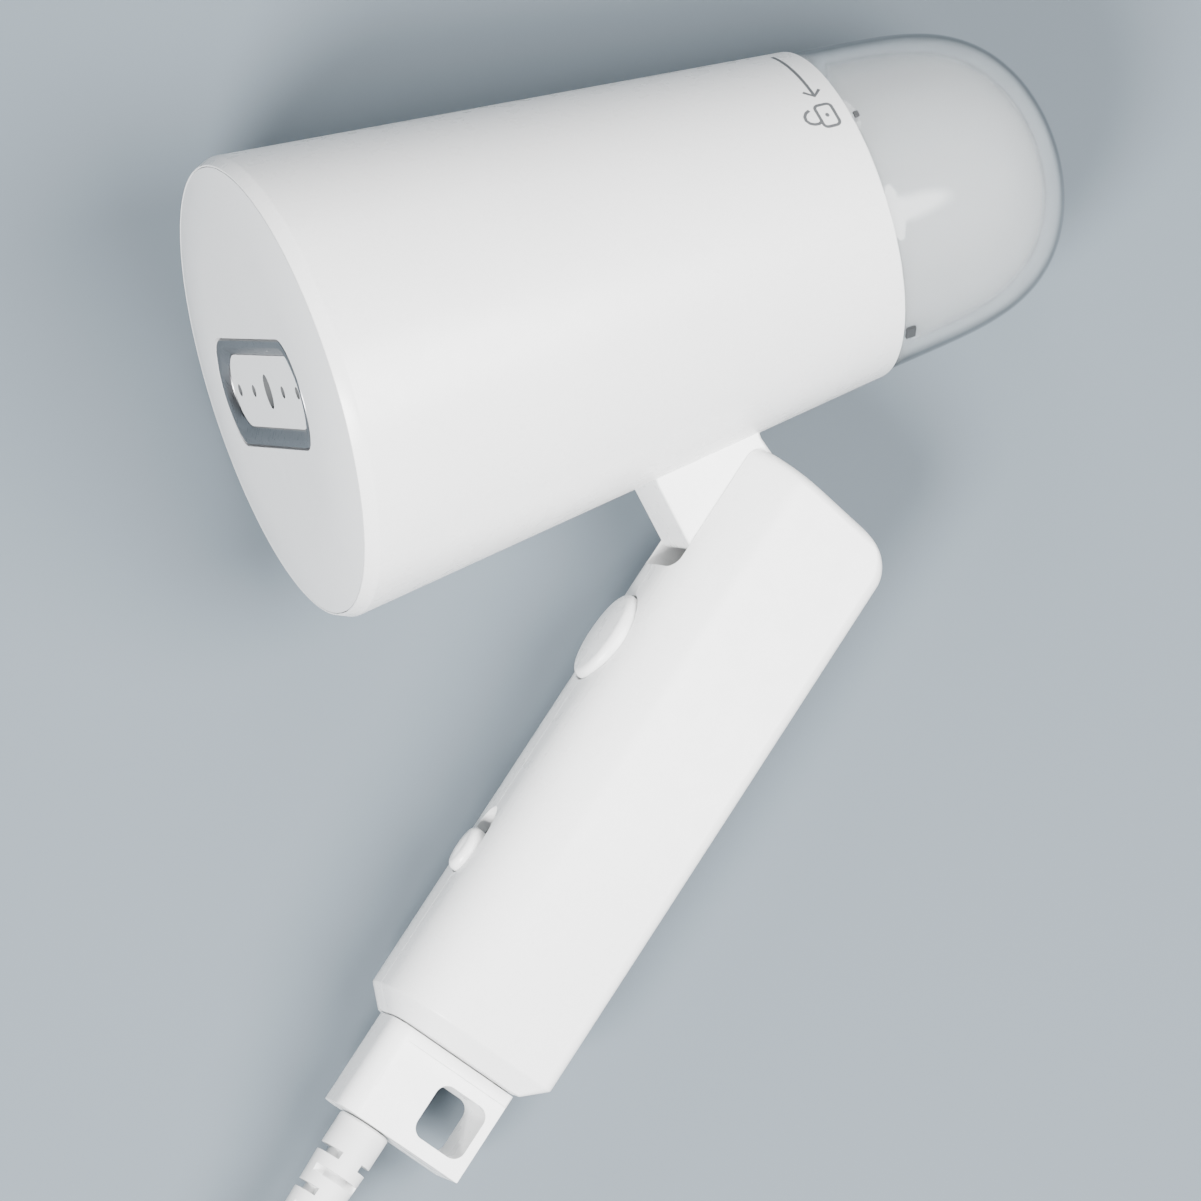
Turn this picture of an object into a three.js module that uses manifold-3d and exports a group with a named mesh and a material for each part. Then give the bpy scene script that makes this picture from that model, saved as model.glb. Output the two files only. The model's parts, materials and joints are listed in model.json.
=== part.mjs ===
// Folding travel garment steamer, lying on its right side.
// Head frame while building (mm): x runs from the steam face to the tank, y to the right, z up.
// Handle frame: x runs from the fold pin down the grip, y to the grip's front, z to the right.
import * as THREE from 'three';
import { mergeVertices } from 'three/addons/utils/BufferGeometryUtils.js';
import Module from 'manifold-3d';

const wasm = await Module();
wasm.setup();

// ---------- driving dimensions ----------
const GAP = 0.3;
const ROUND_BIG = 48;
const ROUND_MID = 26;
const ROUND_SMALL = 12;

const HEAD_LENGTH = 116.5;
const HEAD_FACE_R = 43.9;
const HEAD_FRONT_R = 45;
const HEAD_REAR_R = 32.6;
const RIM_DEPTH = 2.5;
const HEAD_WALL = 2.2;
const PANEL_THICK = 3.3;
const FACE_PROUD = 1.7;
const FACE_FLAT_R = 27.5;
const HEAD_TAPER = (HEAD_FRONT_R - HEAD_REAR_R) / (HEAD_LENGTH - RIM_DEPTH);

const WINDOW_HALF_W = 22;
const WINDOW_HALF_H = 10.7;
const WINDOW_BOW = 4.4;
const BEZEL_WIDTH = 3.6;
const BEZEL_DEPTH = 4.5;
const PLATE_FRONT = -0.4;
const PLATE_THICK = 1.6;
const STEAM_SLOT = [2, 3.4];
const STEAM_HOLE = [1.1, 1.2];
const STEAM_HOLES_AT = [-19, -9.6, 9.6, 19];

const TANK_LENGTH = 45.8;
const TANK_R = 31.9;
const TANK_END_R = 27.9;
const TANK_WALL = 3;
const LINER_INSET = 3.6;
const LINER_WALL = 1;
const DOME_POWER = 5;
const NECK_R = 20;
const LUG_R = 22.5;
const LUG_COUNT = 3;

const PIVOT_X = 84.1;
const PIVOT_Z = -48.8;
const FOLD_REST_DEG = 38.5;
const PIN_R = 2.5;
const FIN_HALF = 8;
const BOSS_R = 9;

const GRIP_TOP = -10.5;
const GRIP_BOTTOM = 118.6;
const GRIP_FRONT = 9;
const GRIP_BACK = -26.4;
const GRIP_HALF = 16;
const FRONT_EDGE_R = 13;
const BACK_EDGE_R = 2.5;
const GRIP_CHAMFER = 3.8;
const GRIP_WALL = 2.2;
const END_SLOPE = 0.105;
const END_SLOPE_FADE = 25;
const BACK_CORNER_R = 8;
const FRONT_CORNER_R = 3.5;
const END_EDGE_R = 2;
const SLOT_HALF = FIN_HALF + GAP;
const SLOT_END = 19.2;
const CAVITY_TOP = 23;

const BUTTON_AT = 36;
const BUTTON_HALF_L = 9.3;
const BUTTON_HALF_W = 7.3;
const BUTTON_RISE = 2.1;
const KNOB_AT = 84.7;
const KNOB_HALF_L = 4.6;
const KNOB_HALF_W = 3.1;
const KNOB_RISE = 2.2;
const KNOB_TRAVEL = 5;

const CORD_R = 3;
const RELIEF_R = 5.3;
const RELIEF_LENGTH = 40;
const RELIEF_ACROSS = -3.8;
const BLOCK_END = 138.3;
const BLOCK_HALF = 7;

const LAY_ROLL_DEG = 11.84;

// Free cord on the surface (mm, finished frame): lead to the coil, coil, tail to the plug.
const COIL_CENTRE = [-129.26, -168.72];
const COIL_TURN_R = [28.6, 34.8, 41];
const COIL_LOW = 0.9;
const COIL_HIGH = 19.3;
const LEAD_ROUTE = [[-108.19, -100.77, 17.47], [-115.32, -106.26, 16.22], [-121.67, -111.14, 13.58],
  [-128.01, -116.02, 10.29], [-134.35, -120.9, 7.09]];
const TAIL_ROUTE = [[-170.86, -144.72, 13], [-176.56, -160.42, 9.2], [-176.56, -177.02, 5.6],
  [-170.86, -192.72, 3.6], [-160.16, -205.52, 3.05], [-145.66, -213.82, 3.1], [-129.26, -216.72, 3.6],
  [-114.26, -217.52, 5.2], [-106.26, -217.52, 6.3], [-100.26, -217.52, 6.6]];
const PLUG_Z = 6.6;
const PLUG_LENGTH = 42;
const PLUG_PIN_LENGTH = 19;
const PLUG_PIN_SPREAD = 9.5;
const PLUG_PIN_R = 2;
const TIE = { half: 4, thick: 0.8, turn: 20, low: 0.05 };

// ---------- helpers ----------
function closed(geometry) {
  const plain = geometry.clone();
  plain.deleteAttribute('normal');
  plain.deleteAttribute('uv');
  const welded = mergeVertices(plain, 1e-5);
  const vertProperties = new Float32Array(welded.attributes.position.array);
  const triVerts = new Uint32Array(welded.index.array);
  if (signedVolume(vertProperties, triVerts) < 0) {
    for (let i = 0; i < triVerts.length; i += 3) {
      [triVerts[i], triVerts[i + 1]] = [triVerts[i + 1], triVerts[i]];
    }
  }
  return new wasm.Manifold(new wasm.Mesh({ numProp: 3, vertProperties, triVerts }));
}

function signedVolume(xyz, tris) {
  const a = new THREE.Vector3();
  const b = new THREE.Vector3();
  const c = new THREE.Vector3();
  let total = 0;
  for (let i = 0; i < tris.length; i += 3) {
    a.fromArray(xyz, tris[i] * 3);
    b.fromArray(xyz, tris[i + 1] * 3);
    c.fromArray(xyz, tris[i + 2] * 3);
    total += a.dot(b.cross(c));
  }
  return total;
}

function geometryOf(solid) {
  const mesh = solid.getMesh();
  const geometry = new THREE.BufferGeometry();
  geometry.setAttribute('position', new THREE.BufferAttribute(new Float32Array(mesh.vertProperties), 3));
  geometry.setIndex(new THREE.BufferAttribute(new Uint32Array(mesh.triVerts), 1));
  geometry.computeVertexNormals();
  return geometry;
}

function cut(body, ...tools) {
  return tools.reduce((left, tool) => left.subtract(tool), body);
}

function join(body, ...more) {
  return more.reduce((left, piece) => left.add(piece), body);
}

function box(x0, x1, y0, y1, z0, z1) {
  const geometry = new THREE.BoxGeometry(x1 - x0, y1 - y0, z1 - z0);
  return closed(geometry.translate((x0 + x1) / 2, (y0 + y1) / 2, (z0 + z1) / 2));
}

// Solid of revolution about x from [x, r] pairs; a profile off the axis is closed on itself.
function turned(profile, segments, y = 0, z = 0) {
  const onAxis = profile[0][1] === 0 && profile[profile.length - 1][1] === 0;
  const loop = onAxis ? profile : [...profile, profile[0]];
  const points = loop.map(([x, r]) => new THREE.Vector2(r, x));
  const geometry = new THREE.LatheGeometry(points, segments);
  return closed(geometry.rotateZ(-Math.PI / 2).translate(0, y, z));
}

function rod(x0, x1, r, y = 0, z = 0, segments = ROUND_SMALL) {
  return turned([[x0, 0], [x0, r], [x1, r], [x1, 0]], segments, y, z);
}

// Cylinder along the frame's z axis.
function post(x, y, z0, z1, r, segments = ROUND_SMALL) {
  const geometry = new THREE.CylinderGeometry(r, r, z1 - z0, segments);
  return closed(geometry.rotateX(Math.PI / 2).translate(x, y, (z0 + z1) / 2));
}

function extruded(shape, depth, curveSegments = 8) {
  return new THREE.ExtrudeGeometry(shape, { depth, bevelEnabled: false, curveSegments });
}

// Shape drawn in (y, z) and pushed along x.
function pushedX(shape, x0, x1, curveSegments = 8) {
  const geometry = extruded(shape, x1 - x0, curveSegments);
  const axes = new THREE.Matrix4().makeBasis(
    new THREE.Vector3(0, 1, 0), new THREE.Vector3(0, 0, 1), new THREE.Vector3(1, 0, 0));
  return closed(geometry.applyMatrix4(axes).translate(x0, 0, 0));
}

// Stack of equal-length rings joined into one closed skin.
function loft(rings) {
  const count = rings[0].length;
  const xyz = rings.flat().flatMap((p) => [p.x, p.y, p.z]);
  const index = [];
  for (let k = 0; k < rings.length - 1; k++) {
    for (let i = 0; i < count; i++) {
      const a = k * count + i;
      const b = k * count + (i + 1) % count;
      index.push(a, b, b + count, a, b + count, a + count);
    }
  }
  for (let i = 1; i < count - 1; i++) {
    index.push(0, i + 1, i);
    const last = (rings.length - 1) * count;
    index.push(last, last + i, last + i + 1);
  }
  const geometry = new THREE.BufferGeometry();
  geometry.setAttribute('position', new THREE.Float32BufferAttribute(xyz, 3));
  geometry.setIndex(index);
  return closed(geometry);
}

// Rounded rectangle ring at x; slope tilts it about its front, so that its back lies further along x.
function gripRing(x, back, front, half, frontR, backR = frontR, slope = 0) {
  const steps = 5;
  const limit = Math.min((front - back) / 2 - 0.2, half - 0.2);
  const f = Math.min(frontR, limit);
  const b = Math.min(backR, limit);
  const corners = [[front - f, half - f, 0, f], [back + b, half - b, 1, b], [back + b, b - half, 2, b],
    [front - f, f - half, 3, f]];
  const ring = [];
  for (const [cy, cz, quarter, r] of corners) {
    for (let i = 0; i <= steps; i++) {
      const angle = (quarter + i / steps) * Math.PI / 2;
      const y = cy + r * Math.cos(angle);
      ring.push(new THREE.Vector3(x + slope * (GRIP_FRONT - y), y, cz + r * Math.sin(angle)));
    }
  }
  return ring;
}

// Ellipse ring parallel to the grip's front face, at height y.
function ovalRing(x, y, halfL, halfW) {
  const ring = [];
  for (let i = 0; i < ROUND_MID; i++) {
    const angle = i / ROUND_MID * Math.PI * 2;
    ring.push(new THREE.Vector3(x + halfL * Math.cos(angle), y, halfW * Math.sin(angle)));
  }
  return ring;
}

function oval(x, y0, y1, halfL, halfW) {
  return loft([ovalRing(x, y0, halfL, halfW), ovalRing(x, y1, halfL, halfW)]);
}

// Short S-bend of hose between two points on the head's mid-plane, level at both ends.
function hose(x0, z0, x1, z1) {
  const bend = (x1 - x0) / 2;
  const shape = new THREE.Shape().absarc(0, 0, HOSE.outer, 0, Math.PI * 2);
  shape.holes.push(new THREE.Path().absarc(0, 0, HOSE.inner, 0, Math.PI * 2));
  const extrudePath = new THREE.CubicBezierCurve3(new THREE.Vector3(x0, 0, z0),
    new THREE.Vector3(x0 + bend, 0, z0), new THREE.Vector3(x1 - bend, 0, z1), new THREE.Vector3(x1, 0, z1));
  const geometry = new THREE.ExtrudeGeometry(shape, { steps: HOSE.steps, extrudePath, curveSegments: 4 });
  return closed(geometry);
}

const material = (color, roughness, metalness = 0, opacity = 1) => new THREE.MeshStandardMaterial({
  color, roughness, metalness, opacity, transparent: opacity < 1 });
const WHITE = () => material(0xf2f2f1, 0.4);
const PANEL = () => material(0xdcdddd, 0.45);
const STEEL = () => material(0x9a9b9d, 0.3, 1);
const CLEAR = () => material(0xdfe8ec, 0.05, 0, 0.35);
const FROST = () => material(0xe6eaec, 0.5, 0, 0.6);
const DARK = () => material(0x2c2d2f, 0.5);
const RUBBER = () => material(0x55585a, 0.8);
const COPPER = () => material(0xb4713d, 0.35, 1);
const BRASS = () => material(0xc2a35a, 0.35, 1);
const ALLOY = () => material(0xb9bbbd, 0.45, 1);
const GREEN = () => material(0x2f6b45, 0.6);

const steamer = new THREE.Group();
const headFrame = new THREE.Group();
const gripFrame = new THREE.Group();
headFrame.add(gripFrame);

function put(frame, name, solid, finish) {
  const mesh = new THREE.Mesh(geometryOf(solid), finish);
  mesh.name = name;
  frame.add(mesh);
}

// ---------- head ----------
const headRadius = (x) => HEAD_FRONT_R - HEAD_TAPER * (x - RIM_DEPTH);
const FIN_FRONT = 64;
const FIN_REAR = 89;
const LEDGE_R = 40.5;
const LEDGE_DEPTH = 2;
const panelBack = PANEL_THICK + GAP;
const ledgeBack = panelBack + LEDGE_DEPTH;
const panelBore = HEAD_FACE_R - GAP;

function headShell() {
  const shell = turned([
    [0, panelBore], [0, HEAD_FACE_R], [RIM_DEPTH, HEAD_FRONT_R], [HEAD_LENGTH, HEAD_REAR_R],
    [HEAD_LENGTH, HEAD_REAR_R - HEAD_WALL], [ledgeBack, headRadius(ledgeBack) - HEAD_WALL],
    [ledgeBack, LEDGE_R], [panelBack, LEDGE_R], [panelBack, panelBore]], ROUND_BIG);
  const finSlot = box(FIN_FRONT - GAP, FIN_REAR + GAP, -SLOT_HALF, SLOT_HALF, -HEAD_FRONT_R, -15);
  return cut(shell, finSlot);
}

// Window outline with straight long sides and ends that bow outward.
function bowedWindow(inset) {
  const w = WINDOW_HALF_W - inset * 0.75;
  const h = WINDOW_HALF_H - inset;
  const tip = w + 2 * (WINDOW_BOW - inset * 0.2);
  const shape = new THREE.Shape();
  shape.moveTo(-w, -h);
  shape.lineTo(w, -h);
  shape.quadraticCurveTo(tip, 0, w, h);
  shape.lineTo(-w, h);
  shape.quadraticCurveTo(-tip, 0, -w, -h);
  return shape;
}

// Flat middle, slightly proud of the rim, that falls away towards the edge.
function frontPanel() {
  const edge = panelBore - GAP;
  const fall = [0.35, 0.7, 1].map((t) => [-FACE_PROUD * (1 - t * t),
    FACE_FLAT_R + (edge - FACE_FLAT_R) * t]);
  const disc = turned([[-FACE_PROUD, 0], [-FACE_PROUD, FACE_FLAT_R], ...fall, [PANEL_THICK, edge],
    [PANEL_THICK, 0]], ROUND_BIG);
  return cut(disc, pushedX(bowedWindow(0), -FACE_PROUD - 1, PANEL_THICK + 1));
}

function nozzleBezel() {
  return cut(pushedX(bowedWindow(GAP), -FACE_PROUD, BEZEL_DEPTH),
    pushedX(bowedWindow(BEZEL_WIDTH), -FACE_PROUD - 1, BEZEL_DEPTH + 1));
}

function nozzlePlate() {
  const shape = bowedWindow(BEZEL_WIDTH + GAP);
  const slot = new THREE.Path();
  slot.absellipse(0, 0, ...STEAM_SLOT, 0, Math.PI * 2);
  shape.holes.push(slot);
  for (const y of STEAM_HOLES_AT) {
    const hole = new THREE.Path();
    hole.absellipse(y, 0, ...STEAM_HOLE, 0, Math.PI * 2);
    shape.holes.push(hole);
  }
  return pushedX(shape, PLATE_FRONT, PLATE_FRONT + PLATE_THICK, 5);
}

const BOILER_FRONT = 16;
const BOILER_REAR = 45;
const BOILER_R = 24;
const CHAMBER_R = 20;
const COVER_THICK = 3;
const NIPPLE_LENGTH = 5;
const NIPPLE_R = 3;
const NIPPLE_BORE_R = 1.5;
const STEAM_PORT_R = 2.5;
const DUCT_INSET = 1;
const DUCT_WALL = 2;
const GASKET_THICK = 1;
const ELEMENT = { at: 31, ringR: 13.5, tubeR: 2.8 };
const TERMINAL = { r: 1.2, length: 6.7, across: 11, up: 13 };
const THERMOSTAT = { at: 29, r: 6.2, top: BOILER_R + 5 };
const FUSE = { front: 22, rear: 36, r: 1.8, under: BOILER_R + 2.3 };
const SHIELD = { front: 15, rear: 50, inner: 32, outer: 33 };
const coverFront = BOILER_REAR + 2 * GAP + GASKET_THICK;
const coverBack = coverFront + COVER_THICK;
const DUCT_FRONT = BEZEL_DEPTH + GAP;
const ductBack = BOILER_FRONT - GAP;

function steamDuct() {
  const outside = pushedX(bowedWindow(DUCT_INSET), DUCT_FRONT, ductBack);
  const inside = pushedX(bowedWindow(DUCT_INSET + DUCT_WALL), DUCT_FRONT - 1, ductBack - DUCT_WALL);
  return cut(outside, inside, rod(ductBack - DUCT_WALL - 1, ductBack + 1, STEAM_PORT_R));
}

function boilerBody() {
  const shell = turned([[BOILER_FRONT, 0], [BOILER_FRONT, BOILER_R], [BOILER_REAR, BOILER_R],
    [BOILER_REAR, CHAMBER_R], [BOILER_FRONT + COVER_THICK, CHAMBER_R],
    [BOILER_FRONT + COVER_THICK, 0]], ROUND_MID);
  return cut(shell, rod(BOILER_FRONT - 1, BOILER_FRONT + COVER_THICK + 1, STEAM_PORT_R));
}

function boilerCover() {
  const disc = rod(coverFront, coverBack, BOILER_R, 0, 0, ROUND_MID);
  const nipple = rod(coverBack - 0.5, coverBack + NIPPLE_LENGTH, NIPPLE_R);
  return cut(join(disc, nipple), rod(coverFront - 1, coverBack + NIPPLE_LENGTH + 1, NIPPLE_BORE_R));
}

function heatingRing() {
  const ring = [];
  for (let i = 0; i < 8; i++) {
    const angle = i / 8 * Math.PI * 2;
    ring.push([ELEMENT.at + ELEMENT.tubeR * Math.cos(angle),
      ELEMENT.ringR + ELEMENT.tubeR * Math.sin(angle)]);
  }
  return turned(ring, 20);
}

const PUMP_Z = 8;
const PUMP_FRONT = 64;
const PUMP_REAR = 92;
const PUMP_R = 9;
const COIL_R = 14;
const BASE_TOP = -22;
const BASE_BOTTOM = -28.8;
const FLANGE_TOP = BASE_TOP + GAP + 2;
const COIL_FRONT = 69;
const COIL_REAR = 85;
const SADDLE = { front: 70, rear: 84 };
const FLANGE = { front: 63.5, rear: 90.5 };
const PUMP_BRACKET_HALF = 10;
const BRACKET_BASE = { front: 60, rear: 101, half: 13 };
const SCREW_HEAD = { r: 2.6, height: 2 };
const SCREW_R = 1.2;
const SCREW_BORE_R = 1.5;
const HOSE = { outer: 2.6, inner: 1.5, steps: 6 };
const FIN_FRONT_EDGE = [[65.9, -38.5], [68.9, -52.2]];
const FIN_REAR_MIDDLE = [88.5, -36];
const BOSS_START = Math.PI * 1.22;
const PIN_LENGTH = 25.4;
const BRACKET_SCREWS = { bracket_screw_front: 67, bracket_screw_rear: 87 };

function pumpBracket() {
  const saddle = box(SADDLE.front, SADDLE.rear, -PUMP_BRACKET_HALF, PUMP_BRACKET_HALF, BASE_TOP + GAP,
    PUMP_Z - COIL_R - GAP);
  const flange = box(FLANGE.front, FLANGE.rear, -PUMP_BRACKET_HALF, PUMP_BRACKET_HALF, BASE_TOP + GAP,
    FLANGE_TOP);
  const holes = Object.values(BRACKET_SCREWS).map((x) => post(x, 0, BASE_TOP, FLANGE_TOP + 1, SCREW_BORE_R));
  return cut(join(saddle, flange), ...holes);
}

function bracketScrew(x) {
  return join(post(x, 0, FLANGE_TOP + GAP, FLANGE_TOP + GAP + SCREW_HEAD.height, SCREW_HEAD.r),
    post(x, 0, BASE_BOTTOM + 3, FLANGE_TOP + 1, SCREW_R));
}

function neckBracket() {
  const outline = new THREE.Shape();
  outline.moveTo(FIN_FRONT + 0.6, BASE_TOP);
  for (const point of FIN_FRONT_EDGE) {
    outline.lineTo(...point);
  }
  outline.absarc(PIVOT_X, PIVOT_Z, BOSS_R, BOSS_START, Math.PI * 2);
  outline.lineTo(...FIN_REAR_MIDDLE);
  outline.lineTo(FIN_REAR - 1.5, BASE_TOP);
  const geometry = extruded(outline, 2 * FIN_HALF, 10).rotateX(Math.PI / 2).translate(0, FIN_HALF, 0);
  const { front, rear, half } = BRACKET_BASE;
  const base = box(front, rear, -half, half, BASE_BOTTOM, BASE_TOP);
  const pinBore = new THREE.CylinderGeometry(PIN_R + GAP, PIN_R + GAP, 3 * FIN_HALF, ROUND_MID);
  const holes = Object.values(BRACKET_SCREWS).map((x) => post(x, 0, BASE_BOTTOM + 2.5, BASE_TOP + 1,
    SCREW_BORE_R));
  return cut(join(closed(geometry), base), closed(pinBore.translate(PIVOT_X, 0, PIVOT_Z)), ...holes);
}

const SOCKET_FRONT = 101.5;
const SOCKET_REAR = 116.2;
const SOCKET_R = 29.8;
const SOCKET_FLOOR = 3;
const RING_R = 26;
const RING_LIP_R = 20.4;
const RING_REAR = 114;
const LIP_R = 24.4;
const SOCKET_PORT_R = 2;
const RING_LIP_THICK = 3;
const LUG_HALF = 4;
const GATE_HALF = 4.5;
const LUG_LENGTH = 3.3;

function tankSocket() {
  const bore = RING_R + GAP;
  const floor = SOCKET_FRONT + SOCKET_FLOOR;
  const cup = turned([[SOCKET_FRONT, 0], [SOCKET_FRONT, SOCKET_R], [SOCKET_REAR, SOCKET_R],
    [SOCKET_REAR, LIP_R], [RING_REAR + GAP, LIP_R], [RING_REAR + GAP, bore], [floor, bore],
    [floor, 0]], ROUND_MID);
  return cut(cup, rod(SOCKET_FRONT - 1, floor + 1, SOCKET_PORT_R));
}

function lugShapes(inner, outer, x0, x1, half) {
  const lugs = [];
  for (let i = 0; i < LUG_COUNT; i++) {
    const lug = box(x0, x1, -half, half, inner, outer);
    lugs.push(lug.rotate([i * 360 / LUG_COUNT, 0, 0]));
  }
  return lugs;
}

function lockRing() {
  const front = SOCKET_FRONT + SOCKET_FLOOR + GAP;
  const ring = turned([[front, LUG_R + 2 * GAP], [front, RING_R], [RING_REAR, RING_R],
    [RING_REAR, RING_LIP_R], [RING_REAR - RING_LIP_THICK, RING_LIP_R],
    [RING_REAR - RING_LIP_THICK, LUG_R + 2 * GAP]], ROUND_MID);
  return cut(ring, ...lugShapes(NECK_R - 2, LUG_R + 2 * GAP, front - 1, RING_REAR + 1, GATE_HALF));
}

// ---------- tank ----------
const TANK_FRONT = HEAD_LENGTH + GAP;
const CAP_FRONT = TANK_FRONT + 0.4;
const CAP_THICK = 3;
const FLANGE_THICK = 0.8;
const NECK_FRONT = 105.2;
const NECK_WALL = 3;
const VALVE_BORE_R = 3.4;
const VALVE = { front: CAP_FRONT - 8, rear: CAP_FRONT + CAP_THICK + 5.5, headThick: 1.5, r: 3, headR: 5 };
const GROOVE = { front: CAP_FRONT - 5, rear: CAP_FRONT - 2, depth: 1.5 };
const SEAL = { front: CAP_FRONT - 4.7, rear: CAP_FRONT - 2.3, depth: 1.2, proud: 0.2 };
const MARK_UPPER = [53.6, 0.9, 0.6];
const MARK_LOWER = [136.8, 1.9, 1.3];

function domeProfile(inset, length) {
  const profile = [];
  for (const u of [0, 0.35, 0.55, 0.7, 0.81, 0.89, 0.95, 0.985, 1]) {
    const straight = TANK_R - inset + (TANK_END_R - TANK_R) * u;
    const r = straight * Math.sqrt(Math.max(0, 1 - u ** DOME_POWER));
    profile.push([TANK_FRONT + length * u, u === 1 ? 0 : r]);
  }
  return profile;
}

function cup(inset, wall, front) {
  const outer = turned([[TANK_FRONT, 0], ...domeProfile(inset, TANK_LENGTH - inset)], ROUND_MID);
  const inner = turned([[TANK_FRONT, 0], ...domeProfile(inset + wall, TANK_LENGTH - inset - wall)],
    ROUND_MID);
  const trim = box(TANK_FRONT - 1, front, -50, 50, -50, 50);
  return cut(outer, inner, trim);
}

function tankCap() {
  const flange = rod(CAP_FRONT, CAP_FRONT + FLANGE_THICK, TANK_R - TANK_WALL - GAP, 0, 0, ROUND_MID);
  const disc = rod(CAP_FRONT, CAP_FRONT + CAP_THICK, TANK_R - LINER_INSET - LINER_WALL - 2 * GAP, 0, 0,
    ROUND_MID);
  const neck = rod(NECK_FRONT, CAP_FRONT + 1, NECK_R, 0, 0, ROUND_MID);
  const hollow = rod(NECK_FRONT - 1, CAP_FRONT + 1, NECK_R - NECK_WALL, 0, 0, ROUND_MID);
  const lugs = lugShapes(NECK_R - 1, LUG_R, NECK_FRONT + GAP, NECK_FRONT + GAP + LUG_LENGTH, LUG_HALF);
  const sealGroove = turned([[GROOVE.front, NECK_R - GROOVE.depth], [GROOVE.front, NECK_R + 1],
    [GROOVE.rear, NECK_R + 1], [GROOVE.rear, NECK_R - GROOVE.depth]], ROUND_MID);
  return cut(join(flange, disc, neck, ...lugs), hollow, sealGroove,
    rod(CAP_FRONT - 1, CAP_FRONT + CAP_THICK + 1, VALVE_BORE_R));
}

function tankSeal() {
  return turned([[SEAL.front, NECK_R - SEAL.depth], [SEAL.front, NECK_R + SEAL.proud],
    [SEAL.rear, NECK_R + SEAL.proud], [SEAL.rear, NECK_R - SEAL.depth]], ROUND_MID);
}

function valvePlunger() {
  const { front, rear, headThick, r, headR } = VALVE;
  return turned([[front, 0], [front, r], [rear - headThick, r], [rear - headThick, headR], [rear, headR],
    [rear, 0]], ROUND_SMALL);
}

// Small dark index mark on the tank's front edge, at an angle about the tank's axis.
function tankMark(degrees, length, half) {
  const mark = box(TANK_FRONT + 0.2, TANK_FRONT + 0.2 + length, -half, half, TANK_R + GAP, TANK_R + 0.9);
  return mark.rotate([degrees, 0, 0]);
}

// ---------- handle ----------
function gripEdge(depth, radius) {
  if (depth >= radius) {
    return 0;
  }
  return radius - Math.sqrt(radius ** 2 - (radius - depth) ** 2);
}

function gripOutside() {
  const rings = [];
  for (const depth of [0, 0.4, 1, 2, 3.5, 5.5, BACK_CORNER_R]) {
    rings.push(gripRing(GRIP_TOP + depth, GRIP_BACK + gripEdge(depth, BACK_CORNER_R),
      GRIP_FRONT - gripEdge(depth, FRONT_CORNER_R), GRIP_HALF - gripEdge(depth, END_EDGE_R),
      FRONT_EDGE_R, BACK_EDGE_R, END_SLOPE * (1 - depth / END_SLOPE_FADE)));
  }
  rings.push(gripRing(GRIP_TOP + END_SLOPE_FADE, GRIP_BACK, GRIP_FRONT, GRIP_HALF, FRONT_EDGE_R,
    BACK_EDGE_R));
  rings.push(gripRing(GRIP_BOTTOM - GRIP_CHAMFER, GRIP_BACK, GRIP_FRONT, GRIP_HALF, FRONT_EDGE_R,
    BACK_EDGE_R));
  rings.push(gripRing(GRIP_BOTTOM, GRIP_BACK + GRIP_CHAMFER, GRIP_FRONT - GRIP_CHAMFER,
    GRIP_HALF - GRIP_CHAMFER, FRONT_EDGE_R - GRIP_CHAMFER, 1));
  return loft(rings);
}

function gripCavity() {
  const back = GRIP_BACK + GRIP_WALL;
  const front = GRIP_FRONT - GRIP_WALL;
  const half = GRIP_HALF - GRIP_WALL;
  const radius = FRONT_EDGE_R - GRIP_WALL;
  const inset = 3;
  return loft([gripRing(CAVITY_TOP, back, front, half, radius, 1),
    gripRing(GRIP_BOTTOM - GRIP_CHAMFER - 1, back, front, half, radius, 1),
    gripRing(GRIP_BOTTOM - GRIP_WALL, back + inset, front - inset, half - inset, radius - inset, 1)]);
}

const SLOT_DEPTH = -13;
const SLOT_CORNER_R = 3;
const BOSSES = {
  handle_screw_top: [4, -18],
  handle_screw_middle: [56, -15],
  handle_screw_bottom: [89, -15] };
const SCREW_BOSS_R = 4;
const SCREW_SEAT = 11;
const STEM = { back: -19, front: 2.2, half: 4.7, top: 108 };
const HANDLE_SCREW = { headR: 2.9, headHeight: 2.2, r: 1.4, boreR: 1.7, seatR: 3.3, end: -11 };
const PIN_SEAT = 13.2;
const HOLE_BASE = 4;
const BUTTON_BASE = 4.3;
const PLUNGER_HALF = 1.6;

// Slot for the fin, with rounded corners at its lower end.
function finSlot() {
  const low = SLOT_END - SLOT_CORNER_R;
  const narrow = SLOT_HALF - SLOT_CORNER_R;
  const main = box(GRIP_TOP - 2, low, SLOT_DEPTH, GRIP_FRONT + 2, -SLOT_HALF, SLOT_HALF);
  const end = box(low - 1, SLOT_END, SLOT_DEPTH, GRIP_FRONT + 2, -narrow, narrow);
  const corners = [-narrow, narrow].map((z) => {
    const corner = new THREE.CylinderGeometry(SLOT_CORNER_R, SLOT_CORNER_R,
      GRIP_FRONT + 2 - SLOT_DEPTH, ROUND_MID);
    return closed(corner.translate(low, (GRIP_FRONT + 2 + SLOT_DEPTH) / 2, z));
  });
  return join(main, end, ...corners);
}

const knobSlotAt = KNOB_AT - KNOB_TRAVEL / 2;
const knobSlotHalf = KNOB_HALF_L + KNOB_TRAVEL / 2 + GAP + 0.1;

function knobSlot() {
  return oval(knobSlotAt, 5, GRIP_FRONT + 2, knobSlotHalf, KNOB_HALF_W + 0.9);
}

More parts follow.
